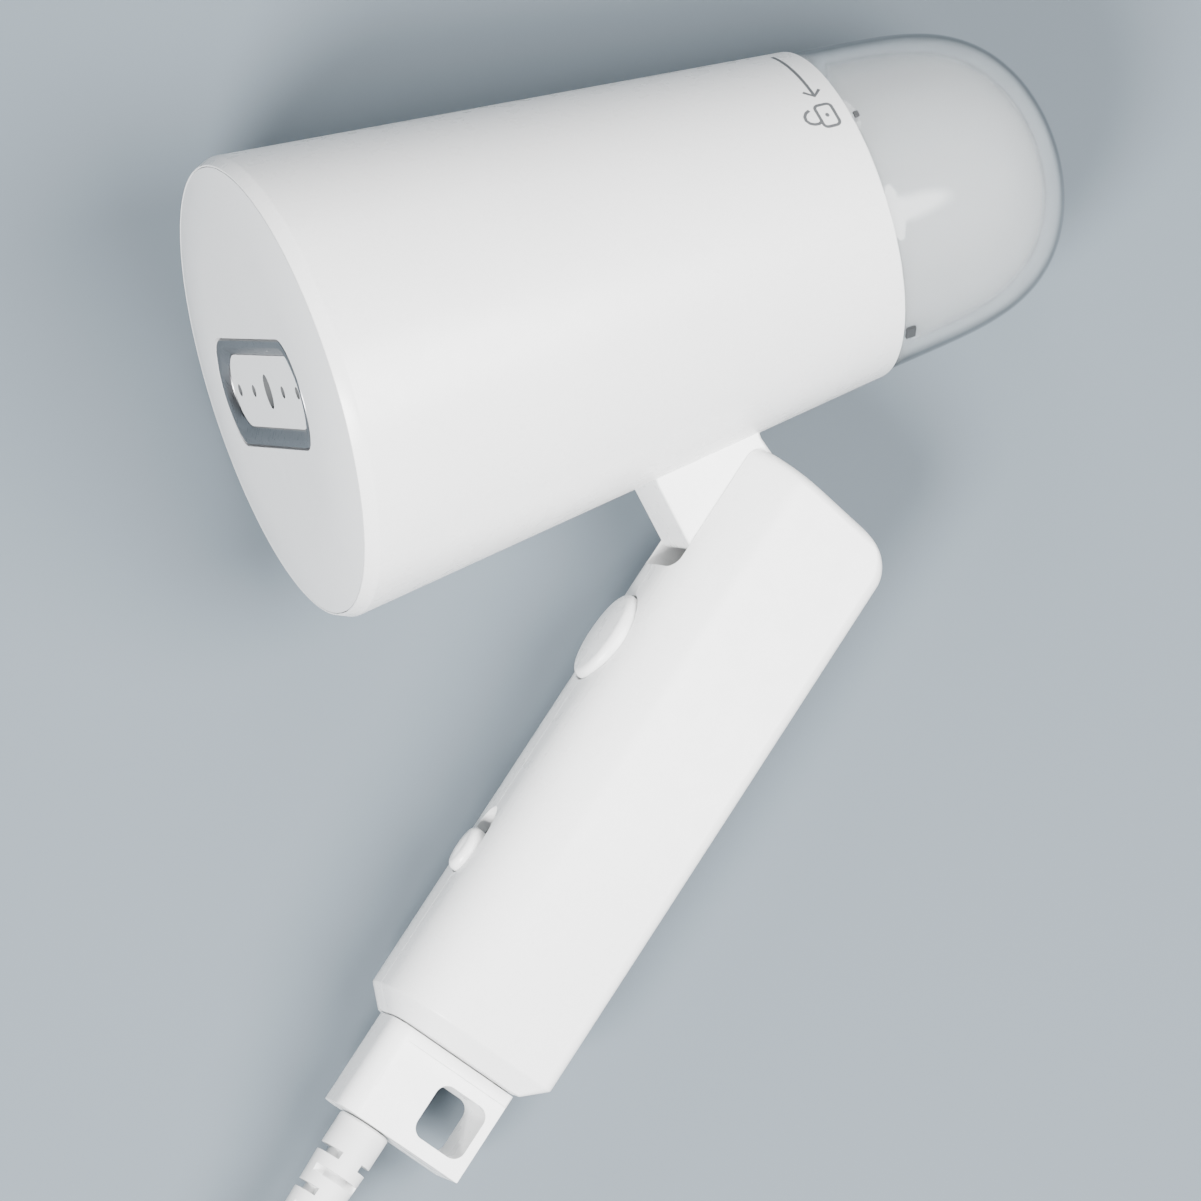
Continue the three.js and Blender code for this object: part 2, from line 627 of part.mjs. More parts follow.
const gripWhole = (() => {
  const pillars = Object.values(BOSSES).map(([x, y]) => post(x, y, -GRIP_HALF, GRIP_HALF, SCREW_BOSS_R));
  const hollow = cut(gripOutside(), cut(gripCavity(), ...pillars));
  const pinBore = post(0, 0, -PIN_SEAT, PIN_SEAT, PIN_R + GAP, ROUND_MID);
  const buttonHole = oval(BUTTON_AT, HOLE_BASE, GRIP_FRONT + 2, BUTTON_HALF_L + GAP, BUTTON_HALF_W + GAP);
  const stemHole = box(STEM.top, GRIP_BOTTOM + 1, STEM.back - GAP, STEM.front + GAP,
    -STEM.half - GAP, STEM.half + GAP);
  const { boreR, seatR, end } = HANDLE_SCREW;
  const bores = Object.values(BOSSES).flatMap(([x, y]) => [post(x, y, end - 0.5, GRIP_HALF + 1, boreR),
    post(x, y, SCREW_SEAT, GRIP_HALF + 1, seatR)]);
  return cut(hollow, finSlot(), pinBore, buttonHole, knobSlot(), stemHole, ...bores);
})();

function gripHalf(side) {
  const near = GAP / 2;
  const keep = side > 0 ? [near, 30] : [-30, -near];
  return gripWhole.intersect(box(GRIP_TOP - 5, GRIP_BOTTOM + 5, -60, 60, keep[0], keep[1]));
}

function handleScrew(x, y) {
  const { headR, headHeight, r, end } = HANDLE_SCREW;
  return join(post(x, y, SCREW_SEAT + GAP, SCREW_SEAT + GAP + headHeight, headR),
    post(x, y, end, SCREW_SEAT + 1, r));
}

function steamButton() {
  const top = GRIP_FRONT + BUTTON_RISE;
  const ring = (y, grow) => ovalRing(BUTTON_AT, y, BUTTON_HALF_L + grow, BUTTON_HALF_W + grow);
  return loft([ring(BUTTON_BASE, 1), ring(BUTTON_BASE + 0.7, 1), ring(BUTTON_BASE + 0.8, 0),
    ring(top - 1.5, 0), ring(top - 0.6, -0.5), ring(top - 0.15, -1.6), ring(top, -3.6)]);
}

function sliderKnob() {
  const top = GRIP_FRONT + KNOB_RISE;
  const ring = (y, grow) => ovalRing(KNOB_AT, y, KNOB_HALF_L + grow, KNOB_HALF_W + grow);
  const knob = loft([ring(4.2, 0.5), ring(5.6, 0.5), ring(6, 0), ring(top - 1.2, 0), ring(top - 0.4, -0.8),
    ring(top, -1.8)]);
  const tongue = box(KNOB_AT - 1.4, KNOB_AT + 1.4, 1.4, 5, -1.4, 1.4);
  return join(knob, tongue);
}

const BOARD_BACK = -5;
const BOARD_FRONT = -3.4;
const BOARD = { top: 26, bottom: 94, half: 10 };
const SWITCH_BACK = BOARD_FRONT + GAP;

function microswitch() {
  const body = box(BUTTON_AT - 5.5, BUTTON_AT + 5.5, SWITCH_BACK, 2.2, -3.5, 3.5);
  return cut(body, box(BUTTON_AT - 2, BUTTON_AT + 2, 0, 3, -2, 2));
}

function slideSwitch() {
  const body = box(KNOB_AT - 9.5, KNOB_AT + 5, SWITCH_BACK, 3, -4, 4);
  return cut(body, box(KNOB_AT - KNOB_TRAVEL - 2, KNOB_AT + 2, 0.9, 4, -1.8, 1.8));
}

const CLAMP_AT = [97, 104.5];
const CLAMP_SCREW = [100.8, -11.5];
const CLAMP_HALF = 6;
const LEAD_TOP = 95;

function cordClamp() {
  const body = box(CLAMP_AT[0], CLAMP_AT[1], -15, 3, -CLAMP_HALF, CLAMP_HALF);
  return cut(body, rod(CLAMP_AT[0] - 1, CLAMP_AT[1] + 1, CORD_R + GAP, RELIEF_ACROSS, 0, ROUND_MID),
    post(CLAMP_SCREW[0], CLAMP_SCREW[1], -7, 7, 1.6));
}

const BLOCK_BACK = -23.3;
const BLOCK_FRONT = 4.6;
const BLOCK_FRONT_R = 4;
const RECESS_FRONT = 1;
const RECESS_DEPTH = 0.6;
const blockTop = GRIP_BOTTOM + GAP;
const LEDGE = 2.4;
const WINDOW = { top: 123.8, bottom: 135.2, back: -21.3, front: -10, corner: 2.5 };

function roundedRect(x0, x1, y0, y1, r) {
  const shape = new THREE.Shape();
  shape.moveTo(x0 + r, y0);
  shape.absarc(x1 - r, y0 + r, r, -Math.PI / 2, 0);
  shape.absarc(x1 - r, y1 - r, r, 0, Math.PI / 2);
  shape.absarc(x0 + r, y1 - r, r, Math.PI / 2, Math.PI);
  shape.absarc(x0 + r, y0 + r, r, Math.PI, Math.PI * 1.5);
  return shape;
}

function hangBlock() {
  const section = new THREE.Shape();
  section.moveTo(BLOCK_BACK, -BLOCK_HALF);
  section.absarc(BLOCK_FRONT - BLOCK_FRONT_R, BLOCK_FRONT_R - BLOCK_HALF, BLOCK_FRONT_R, -Math.PI / 2, 0);
  section.absarc(BLOCK_FRONT - BLOCK_FRONT_R, BLOCK_HALF - BLOCK_FRONT_R, BLOCK_FRONT_R, 0, Math.PI / 2);
  section.lineTo(BLOCK_BACK, BLOCK_HALF);
  const body = pushedX(section, blockTop, BLOCK_END, 6);
  const window = extruded(roundedRect(WINDOW.top, WINDOW.bottom, WINDOW.back, WINDOW.front,
    WINDOW.corner), 4 * BLOCK_HALF, 5);
  const recess = (z0, z1) => box(blockTop + LEDGE, BLOCK_END + 1, BLOCK_BACK - 1, RECESS_FRONT,
    z0, z1);
  const stem = box(STEM.top + GAP, blockTop + 1, STEM.back, STEM.front, -STEM.half, STEM.half);
  return cut(join(body, stem), closed(window.translate(0, 0, -2 * BLOCK_HALF)),
    recess(BLOCK_HALF - RECESS_DEPTH, BLOCK_HALF + 1), recess(-BLOCK_HALF - 1, RECESS_DEPTH - BLOCK_HALF),
    rod(STEM.top - 1, STEM.top + 6, CORD_R + GAP, RELIEF_ACROSS, 0, ROUND_MID));
}

const reliefTop = BLOCK_END + GAP;
const reliefEnd = reliefTop + RELIEF_LENGTH;

const NOTCH_FIRST = 6.8;
const NOTCH_PITCH = 4.05;
const NOTCH_WIDTH = 1.6;
const NOTCH_COUNT = 8;
const NOTCH_FROM = 2.2;
const RELIEF_CORE_R = 3.3;
const RELIEF_END_R = 4.1;

// Tapered sleeve with pairs of notches that alternate between front and back, and left and right.
function strainRelief() {
  const sleeve = turned([[reliefTop, 0], [reliefTop, RELIEF_R], [reliefTop + NOTCH_FIRST, RELIEF_R],
    [reliefEnd, RELIEF_END_R], [reliefEnd, 0]], 20, RELIEF_ACROSS, 0);
  const reach = RELIEF_R + 1;
  const notches = [];
  for (let i = 0; i < NOTCH_COUNT; i++) {
    const x = reliefTop + NOTCH_FIRST + i * NOTCH_PITCH;
    const slab = i % 2 === 0
      ? box(x, x + NOTCH_WIDTH, NOTCH_FROM, reach, -reach, reach)
      : box(x, x + NOTCH_WIDTH, -reach, reach, NOTCH_FROM, reach);
    const other = i % 2 === 0 ? slab.mirror([0, 1, 0]) : slab.mirror([0, 0, 1]);
    notches.push(slab.translate([0, RELIEF_ACROSS, 0]), other.translate([0, RELIEF_ACROSS, 0]));
  }
  const core = rod(reliefTop + 1, reliefEnd - 1, RELIEF_CORE_R, RELIEF_ACROSS, 0, 20);
  return join(cut(sleeve, ...notches), core);
}

// ---------- assembly ----------
put(headFrame, 'head_shell', headShell(), WHITE());
put(headFrame, 'front_panel', frontPanel(), PANEL());
put(headFrame, 'nozzle_bezel', nozzleBezel(), STEEL());
put(headFrame, 'nozzle_plate', nozzlePlate(), PANEL());
put(headFrame, 'steam_duct', steamDuct(), WHITE());
put(headFrame, 'boiler_body', boilerBody(), ALLOY());
put(headFrame, 'boiler_gasket', turned([[BOILER_REAR + GAP, CHAMBER_R], [BOILER_REAR + GAP, BOILER_R],
  [BOILER_REAR + GAP + GASKET_THICK, BOILER_R], [BOILER_REAR + GAP + GASKET_THICK, CHAMBER_R]], ROUND_MID),
  RUBBER());
put(headFrame, 'boiler_cover', boilerCover(), ALLOY());
put(headFrame, 'heating_element', heatingRing(), STEEL());
for (const [name, side] of [['element_terminal_left', -1], ['element_terminal_right', 1]]) {
  put(headFrame, name, rod(coverBack + GAP, coverBack + GAP + TERMINAL.length, TERMINAL.r,
    side * TERMINAL.across, TERMINAL.up), BRASS());
}
put(headFrame, 'thermostat', post(THERMOSTAT.at, 0, BOILER_R + GAP, THERMOSTAT.top, THERMOSTAT.r, 20),
  DARK());
put(headFrame, 'thermal_fuse', rod(FUSE.front, FUSE.rear, FUSE.r, 0, -FUSE.under), BRASS());
put(headFrame, 'heat_shield', turned([[SHIELD.front, SHIELD.inner], [SHIELD.front, SHIELD.outer],
  [SHIELD.rear, SHIELD.outer], [SHIELD.rear, SHIELD.inner]], ROUND_MID), FROST());
put(headFrame, 'pump_body', rod(PUMP_FRONT, PUMP_REAR, PUMP_R, 0, PUMP_Z, 24), WHITE());
put(headFrame, 'pump_coil', turned([[COIL_FRONT, PUMP_R + GAP], [COIL_FRONT, COIL_R], [COIL_REAR, COIL_R],
  [COIL_REAR, PUMP_R + GAP]], 24, 0, PUMP_Z), COPPER());
put(headFrame, 'pump_bracket', pumpBracket(), STEEL());
for (const [name, x] of Object.entries(BRACKET_SCREWS)) {
  put(headFrame, name, bracketScrew(x), STEEL());
}
put(headFrame, 'outlet_hose', hose(PUMP_FRONT - GAP, PUMP_Z, coverBack + NIPPLE_LENGTH + GAP, 0), RUBBER());
put(headFrame, 'inlet_hose', hose(PUMP_REAR + GAP, PUMP_Z, SOCKET_FRONT - GAP, 0), RUBBER());
put(headFrame, 'neck_bracket', neckBracket(), WHITE());
const pin = new THREE.CylinderGeometry(PIN_R, PIN_R, PIN_LENGTH, ROUND_MID);
put(headFrame, 'hinge_pin', closed(pin.translate(PIVOT_X, 0, PIVOT_Z)), STEEL());
put(headFrame, 'tank_socket', tankSocket(), WHITE());
put(headFrame, 'lock_ring', lockRing(), PANEL());
put(headFrame, 'tank_shell', cup(0, TANK_WALL, TANK_FRONT), CLEAR());
put(headFrame, 'tank_liner', cup(LINER_INSET, LINER_WALL, CAP_FRONT + FLANGE_THICK + GAP), FROST());
put(headFrame, 'tank_cap', tankCap(), WHITE());
put(headFrame, 'tank_seal', tankSeal(), RUBBER());
put(headFrame, 'valve_plunger', valvePlunger(), BRASS());
put(headFrame, 'tank_mark_upper', tankMark(...MARK_UPPER), DARK());
put(headFrame, 'tank_mark_lower', tankMark(...MARK_LOWER), DARK());

put(gripFrame, 'handle_shell_left', gripHalf(-1), WHITE());
put(gripFrame, 'handle_shell_right', gripHalf(1), WHITE());
for (const [name, [x, y]] of Object.entries(BOSSES)) {
  put(gripFrame, name, handleScrew(x, y), STEEL());
}
put(gripFrame, 'steam_button', steamButton(), WHITE());
put(gripFrame, 'switch_plunger', box(BUTTON_AT - PLUNGER_HALF, BUTTON_AT + PLUNGER_HALF, 1.6,
  BUTTON_BASE - GAP, -PLUNGER_HALF, PLUNGER_HALF), DARK());
put(gripFrame, 'microswitch', microswitch(), DARK());
put(gripFrame, 'slider_knob', sliderKnob(), WHITE());
put(gripFrame, 'slide_switch', slideSwitch(), DARK());
put(gripFrame, 'circuit_board', box(BOARD.top, BOARD.bottom, BOARD_BACK, BOARD_FRONT, -BOARD.half,
  BOARD.half), GREEN());
put(gripFrame, 'cord_clamp', cordClamp(), WHITE());
put(gripFrame, 'clamp_screw', join(post(...CLAMP_SCREW, 6.3, 8.3, 2.8), post(...CLAMP_SCREW, -6, 6.5, 1.3)),
  STEEL());
put(gripFrame, 'inner_lead', rod(LEAD_TOP, STEM.top + 5.5, CORD_R, RELIEF_ACROSS), PANEL());
put(gripFrame, 'hang_block', hangBlock(), WHITE());
put(gripFrame, 'strain_relief', strainRelief(), WHITE());

// ---------- laying the steamer on its right side ----------
const fold = THREE.MathUtils.degToRad(FOLD_REST_DEG);
gripFrame.applyMatrix4(new THREE.Matrix4().makeBasis(
  new THREE.Vector3(-Math.cos(fold), 0, -Math.sin(fold)),
  new THREE.Vector3(-Math.sin(fold), 0, Math.cos(fold)),
  new THREE.Vector3(0, 1, 0)).setPosition(PIVOT_X, 0, PIVOT_Z));
const onSide = new THREE.Matrix4().makeBasis(
  new THREE.Vector3(1, 0, 0), new THREE.Vector3(0, 0, -1), new THREE.Vector3(0, 1, 0));
const roll = new THREE.Matrix4().makeRotationX(THREE.MathUtils.degToRad(LAY_ROLL_DEG));
const pitch = new THREE.Matrix4().makeRotationY(Math.atan(HEAD_TAPER));
const lay = pitch.multiply(roll).multiply(onSide);
headFrame.applyMatrix4(lay);
headFrame.updateMatrixWorld(true);
const bounds = new THREE.Box3().setFromObject(headFrame, true);
const middle = bounds.getCenter(new THREE.Vector3());
const shift = new THREE.Vector3(-middle.x, -middle.y, -bounds.min.z);

const pieces = [];
headFrame.traverse((piece) => {
  if (piece.isMesh) {
    pieces.push(piece);
  }
});
for (const piece of pieces) {
  piece.geometry.applyMatrix4(piece.matrixWorld);
  piece.geometry.translate(shift.x, shift.y, shift.z);
  piece.position.set(0, 0, 0);
  piece.quaternion.identity();
  steamer.add(piece);
}

// ---------- cord ----------
function cordRun(route, steps) {
  const shape = new THREE.Shape().absarc(0, 0, CORD_R, 0, Math.PI * 2);
  const extrudePath = new THREE.CatmullRomCurve3(route.map((p) => new THREE.Vector3(...p)));
  return closed(new THREE.ExtrudeGeometry(shape, { steps, extrudePath, curveSegments: 4 }));
}

function cordCoil() {
  const inner = COIL_TURN_R[0] - CORD_R;
  const outer = COIL_TURN_R[2] + CORD_R;
  const section = [[inner, COIL_LOW], [outer, COIL_LOW], [outer, COIL_HIGH], [inner, COIL_HIGH]];
  const loop = [...section, section[0]].map((p) => new THREE.Vector2(...p));
  const geometry = new THREE.LatheGeometry(loop, ROUND_MID).rotateX(Math.PI / 2);
  return closed(geometry.translate(COIL_CENTRE[0], COIL_CENTRE[1], 0));
}

// Strap round the coil's section.
function cordTie() {
  const inner = COIL_TURN_R[0] - CORD_R - 3 * GAP;
  const outer = COIL_TURN_R[2] + CORD_R + GAP;
  const { half, thick, turn, low } = TIE;
  const strap = cut(box(inner - thick, outer + thick, -half, half, low, COIL_HIGH + GAP + thick),
    box(inner, outer, -half - 1, half + 1, COIL_LOW - GAP, COIL_HIGH + GAP));
  return strap.rotate([0, 0, turn]).translate([COIL_CENTRE[0], COIL_CENTRE[1], 0]);
}

const plugStart = [TAIL_ROUTE.at(-1)[0] + GAP, TAIL_ROUTE.at(-1)[1]];

function plugBody() {
  const stations = [[0, 4.2, 3.6], [14, 5.6, 4.8], [18, 9, 5.8], [23, 13, 6.4], [39, 13, 6.4],
    [PLUG_LENGTH, 12, 5.6]];
  const rings = stations.map(([x, half, high]) => gripRing(x, -half, half, high, 4.5));
  return loft(rings).translate([...plugStart, PLUG_Z]);
}

function plugPin(side) {
  const start = PLUG_LENGTH + GAP;
  return rod(start, start + PLUG_PIN_LENGTH, PLUG_PIN_R, side * PLUG_PIN_SPREAD, 0)
    .translate([...plugStart, PLUG_Z]);
}

put(steamer, 'cord_lead', cordRun(LEAD_ROUTE, 5), PANEL());
put(steamer, 'cord_coil', cordCoil(), PANEL());
put(steamer, 'cord_tail', cordRun(TAIL_ROUTE, 12), PANEL());
put(steamer, 'cord_tie', cordTie(), DARK());
put(steamer, 'plug_body', plugBody(), WHITE());
put(steamer, 'plug_pin_left', plugPin(1), STEEL());
put(steamer, 'plug_pin_right', plugPin(-1), STEEL());

export default steamer;
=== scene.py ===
"""Looks for the folding garment steamer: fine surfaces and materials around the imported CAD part.

Metres. The head frame has x from the steam face to the tank, y to the right, z up.
The grip frame has x from the fold pin down the grip, y to the grip's front, z to the right.
"""

import json
import math

import bmesh
import bpy
from mathutils import Matrix, Vector


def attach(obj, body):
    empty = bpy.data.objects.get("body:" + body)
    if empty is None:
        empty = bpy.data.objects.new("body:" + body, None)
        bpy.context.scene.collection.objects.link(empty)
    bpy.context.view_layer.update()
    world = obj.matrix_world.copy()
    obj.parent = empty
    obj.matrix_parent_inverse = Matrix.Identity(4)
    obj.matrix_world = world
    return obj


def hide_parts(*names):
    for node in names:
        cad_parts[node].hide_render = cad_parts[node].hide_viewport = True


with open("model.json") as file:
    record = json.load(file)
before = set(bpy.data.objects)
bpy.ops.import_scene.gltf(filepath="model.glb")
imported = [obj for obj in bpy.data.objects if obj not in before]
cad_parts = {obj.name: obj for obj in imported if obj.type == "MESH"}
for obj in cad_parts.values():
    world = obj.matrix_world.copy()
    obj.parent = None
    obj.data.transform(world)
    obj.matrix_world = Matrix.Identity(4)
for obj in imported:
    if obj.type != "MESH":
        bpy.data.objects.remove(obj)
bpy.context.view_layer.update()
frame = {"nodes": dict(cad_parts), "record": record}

MM = 0.001

# ---------- the frames that the pieces are drawn in ----------
joints = {joint["name"]: joint for joint in frame["record"]["behaviour"]["joints"]}


def frame_from(x_axis, y_axis, origin):
    x = Vector(x_axis).normalized()
    y = Vector(y_axis).normalized()
    z = x.cross(y)
    turn = Matrix((x, y, z)).transposed().to_4x4()
    return Matrix.Translation(Vector(origin)) @ turn


HEAD = frame_from(joints["tank_twist"]["axis"], joints["fold_hinge"]["axis"],
                  joints["tank_twist"]["pos_m"])
GRIP = frame_from(-Vector(joints["power_slider"]["axis"]), -Vector(joints["steam_button_press"]["axis"]),
                  joints["fold_hinge"]["pos_m"])
WORLD = Matrix.Identity(4)

# ---------- sizes, as in the CAD part ----------
HEAD_LENGTH = 116.5 * MM
FACE_R = 43.9 * MM
FRONT_R = 45 * MM
REAR_R = 32.6 * MM
RIM_DEPTH = 2.5 * MM
HEAD_WALL = 2.2 * MM
PANEL_THICK = 3.3 * MM
FACE_PROUD = 1.7 * MM
FACE_FLAT_R = 27.5 * MM
TAPER = (FRONT_R - REAR_R) / (HEAD_LENGTH - RIM_DEPTH)
WINDOW_HALF_W = 22 * MM
WINDOW_HALF_H = 10.7 * MM
WINDOW_BOW = 4.4 * MM
WINDOW_CORNER_R = 2.6 * MM
BEZEL_WIDTH = 3.6 * MM
BEZEL_DEPTH = 4.5 * MM
PLATE_FRONT = -0.4 * MM
PLATE_THICK = 1.6 * MM
STEAM_SLOT = (2 * MM, 3.4 * MM)
STEAM_HOLE = (1.1 * MM, 1.2 * MM)
STEAM_HOLES_AT = (-19 * MM, -9.6 * MM, 9.6 * MM, 19 * MM)
TANK_FRONT = 116.8 * MM
TANK_LENGTH = 45.8 * MM
TANK_R = 31.9 * MM
TANK_END_R = 27.9 * MM
TANK_WALL = 3 * MM
LINER_INSET = 3.6 * MM
LINER_FRONT = 118.3 * MM
LINER_WALL = 1 * MM
DOME_POWER = 5
FIN_HALF = 8 * MM
BOSS_R = 9 * MM
GRIP_TOP = -10.5 * MM
GRIP_BOTTOM = 118.6 * MM
GRIP_FRONT = 9 * MM
GRIP_BACK = -26.4 * MM
GRIP_HALF = 16 * MM
FRONT_EDGE_R = 13 * MM
BACK_EDGE_R = 2.5 * MM
GRIP_CHAMFER = 3.8 * MM
GRIP_WALL = 2.2 * MM
END_SLOPE = 0.105
END_SLOPE_FADE = 25 * MM
BACK_CORNER_R = 8 * MM
FRONT_CORNER_R = 3.5 * MM
END_EDGE_R = 2 * MM
SLOT_HALF = 8.3 * MM
SLOT_END = 19.2 * MM
SLOT_DEPTH = -13 * MM
SLOT_CORNER_R = 3 * MM
BUTTON_AT = 36 * MM
BUTTON_HALF_L = 9.3 * MM
BUTTON_HALF_W = 7.3 * MM
BUTTON_RISE = 2.1 * MM
KNOB_AT = 84.7 * MM
KNOB_HALF_L = 4.6 * MM
KNOB_HALF_W = 3.1 * MM
KNOB_RISE = 2.2 * MM
KNOB_TRAVEL = 5 * MM
CORD_R = 3 * MM
RELIEF_START = 138.6 * MM
RELIEF_LENGTH = 40 * MM
RELIEF_R = 5.3 * MM
RELIEF_ACROSS = -3.8 * MM
RELIEF_CORE_R = 3.3 * MM
RELIEF_END_R = 4.1 * MM
NOTCH_FIRST = 6.8 * MM
NOTCH_PITCH = 4.05 * MM
NOTCH_WIDTH = 1.6 * MM
NOTCH_COUNT = 8
NOTCH_FROM = 2.2 * MM
BLOCK_TOP = 118.9 * MM
BLOCK_END = 138.3 * MM
BLOCK_BACK = -23.3 * MM
BLOCK_FRONT = 4.6 * MM
RECESS_FRONT = 1 * MM
RECESS_DEPTH = 0.6 * MM
BLOCK_HALF = 7 * MM
BLOCK_LEDGE = 2.4 * MM
HANG_WINDOW = (123.8 * MM, 135.2 * MM, -21.3 * MM, -10 * MM)
HANG_CORNER_R = 2.5 * MM
SCREWS = {"handle_screw_top": (4 * MM, -18 * MM), "handle_screw_middle": (56 * MM, -15 * MM),
          "handle_screw_bottom": (89 * MM, -15 * MM)}
SCREW_SEAT = 11 * MM
HOLE_CLEARANCE = 0.45 * MM
BUTTON_BASE = 4.3 * MM
KNOB_BASE = 4.2 * MM
FIN_FRONT_EDGE = [(64.6 * MM, -22 * MM), (65.9 * MM, -38.5 * MM), (68.9 * MM, -52.2 * MM)]
FIN_REAR_EDGE = [(88.5 * MM, -36 * MM), (87.5 * MM, -22 * MM)]
FIN_BASE = ((60 * MM, -13 * MM, -28.8 * MM), (101 * MM, 13 * MM, -22 * MM))

# Cord on the surface: lead to the coil, coil, tail to the plug.
COIL_CENTRE = Vector((-129.26, -168.72, 0)) * MM
COIL_TURN_R = (28.6 * MM, 34.8 * MM, 41 * MM)
COIL_LAYERS = (3.95 * MM, 10.05 * MM, 16.15 * MM)
COIL_START_DEG = 127.58
COIL_TURNS = 6.9
COIL_JOG = 0.3
LEAD_ROUTE = [(-108.19, -100.77, 17.47), (-115.32, -106.26, 16.22), (-121.67, -111.14, 13.58),
              (-128.01, -116.02, 10.29), (-134.35, -120.9, 7.09), (-140.69, -125.77, 4.73),
              (-147.5, -131.02, 3.95)]
TAIL_ROUTE = [(-170.86, -144.72, 13), (-176.56, -160.42, 9.2), (-176.56, -177.02, 5.6),
              (-170.86, -192.72, 3.6), (-160.16, -205.52, 3.05), (-145.66, -213.82, 3.1),
              (-129.26, -216.72, 3.6), (-114.26, -217.52, 5.2), (-106.26, -217.52, 6.3),
              (-100.26, -217.52, 6.6)]
LEAVING_TURN = ((108, 42.2, 16.0), (122, 44.2, 15.4), (136, 46.4, 14.4))
PLUG_START = Vector((-99.96, -217.52, 6.6)) * MM
PLUG_LENGTH = 42 * MM
PLUG_PIN_SPREAD = 9.5 * MM

# Viewpoint in the head frame: turned from straight at the left side, tipped and rolled.
VIEW_YAW = math.radians(17.61)
VIEW_PITCH = math.radians(-7.90)
VIEW_ROLL = math.radians(15.77)
VIEW_PLACE = Vector((-0.3304, -1.2020, 0.1179))
LENS = 200.5
SENSOR = 36

# Studio: a sky that is dark at the horizon and pale overhead, over a pale floor.
SKY_STRENGTH = 0.28
SKY_FROM = 0.25
SKY_TO = 0.85
HORIZON_COLOR = (0.03, 0.04, 0.05)
ZENITH_COLOR = (0.82, 0.89, 0.96)
FLOOR_COLOR = (0.135, 0.165, 0.19)


# ---------- materials ----------
class Nodes:
    """Short names for building one material's shader tree."""

    def __init__(self, name, color, roughness, metallic=0.0):
        self.material = bpy.data.materials.new(name)
        self.material.use_nodes = True
        self.tree = self.material.node_tree
        self.shader = self.tree.nodes["Principled BSDF"]
        self.shader.inputs["Base Color"].default_value = (*color, 1)
        self.shader.inputs["Roughness"].default_value = roughness
        self.shader.inputs["Metallic"].default_value = metallic
        self.coords = self.tree.nodes.new("ShaderNodeTexCoord").outputs["Object"]

    def link(self, a, b):
        self.tree.links.new(a, b)

    def noise(self, scale, detail=4, stretch=None):
        node = self.tree.nodes.new("ShaderNodeTexNoise")
        node.inputs["Scale"].default_value = scale
        node.inputs["Detail"].default_value = detail
        coords = self.coords
        if stretch:
            mapping = self.tree.nodes.new("ShaderNodeMapping")
            mapping.inputs["Scale"].default_value = stretch
            self.link(coords, mapping.inputs["Vector"])
            coords = mapping.outputs["Vector"]
        self.link(coords, node.inputs["Vector"])
        return node.outputs["Fac"]

    def spread(self, value, low, high):
        node = self.tree.nodes.new("ShaderNodeMapRange")
        node.inputs["From Min"].default_value = 0.3
        node.inputs["From Max"].default_value = 0.7
        node.inputs["To Min"].default_value = low
        node.inputs["To Max"].default_value = high
        self.link(value, node.inputs["Value"])
        return node.outputs["Result"]

    def rough(self, value, low, high):
        self.link(self.spread(value, low, high), self.shader.inputs["Roughness"])

    def tint(self, value, dark, light):
        ramp = self.tree.nodes.new("ShaderNodeValToRGB")
        ramp.color_ramp.elements[0].position = 0.3
        ramp.color_ramp.elements[1].position = 0.7
        ramp.color_ramp.elements[0].color = (*dark, 1)
        ramp.color_ramp.elements[1].color = (*light, 1)
        self.link(value, ramp.inputs["Fac"])
        self.link(ramp.outputs["Color"], self.shader.inputs["Base Color"])

    def bump(self, value, distance, strength=1.0):
        node = self.tree.nodes.new("ShaderNodeBump")
        node.inputs["Distance"].default_value = distance
        node.inputs["Strength"].default_value = strength
        self.link(value, node.inputs["Height"])
        self.link(node.outputs["Normal"], self.shader.inputs["Normal"])


def shade(color, amount):
    return tuple(channel * amount for channel in color)


def plastic(name, color, low, high, grain=1900, depth=0.00002):
    """Moulded plastic: fine spark grain, faint cloudy tint and uneven sheen."""
    nodes = Nodes(name, color, low)
    nodes.tint(nodes.noise(38, 3), shade(color, 0.975), color)
    nodes.rough(nodes.noise(260), low, high)
    nodes.bump(nodes.noise(grain, 2), depth, 0.5)
    return nodes.material


def metal(name, color, low, high, stretch=None, depth=0.00003):
    nodes = Nodes(name, color, low, 1.0)
    grain = nodes.noise(420, 5, stretch)
    nodes.tint(grain, shade(color, 0.86), color)
    nodes.rough(grain, low, high)
    nodes.bump(grain, depth, 0.4)
    return nodes.material


def clear_plastic():
    nodes = Nodes("clear_tank", (0.93, 0.965, 0.975), 0.03)
    nodes.shader.inputs["Transmission Weight"].default_value = 0.86
    nodes.shader.inputs["IOR"].default_value = 1.49
    nodes.rough(nodes.noise(90), 0.07, 0.12)
    # Painted dark edge: the base colour turns near-black where the tank is seen edge-on, standing in for the
    # dark surroundings reflected in its rim.
    painted_dark_edge_mask = nodes.tree.nodes.new("ShaderNodeLayerWeight")
    painted_dark_edge_mask.inputs["Blend"].default_value = 0.5
    tone = nodes.tree.nodes.new("ShaderNodeValToRGB")
    tone.color_ramp.elements[0].position = 0.66
    tone.color_ramp.elements[1].position = 0.8
    tone.color_ramp.elements[0].color = (0.94, 0.965, 0.975, 1)
    tone.color_ramp.elements[1].color = (0.03, 0.035, 0.04, 1)
    nodes.link(painted_dark_edge_mask.outputs["Facing"], tone.inputs["Fac"])
    nodes.link(tone.outputs["Color"], nodes.shader.inputs["Base Color"])
    depth = nodes.tree.nodes.new("ShaderNodeVolumeAbsorption")
    depth.inputs["Color"].default_value = (0.6, 0.62, 0.63, 1)
    depth.inputs["Density"].default_value = 14
    nodes.link(depth.outputs["Volume"], nodes.tree.nodes["Material Output"].inputs["Volume"])
    nodes.bump(nodes.noise(24, 1), 0.00005, 0.15)
    return nodes.material


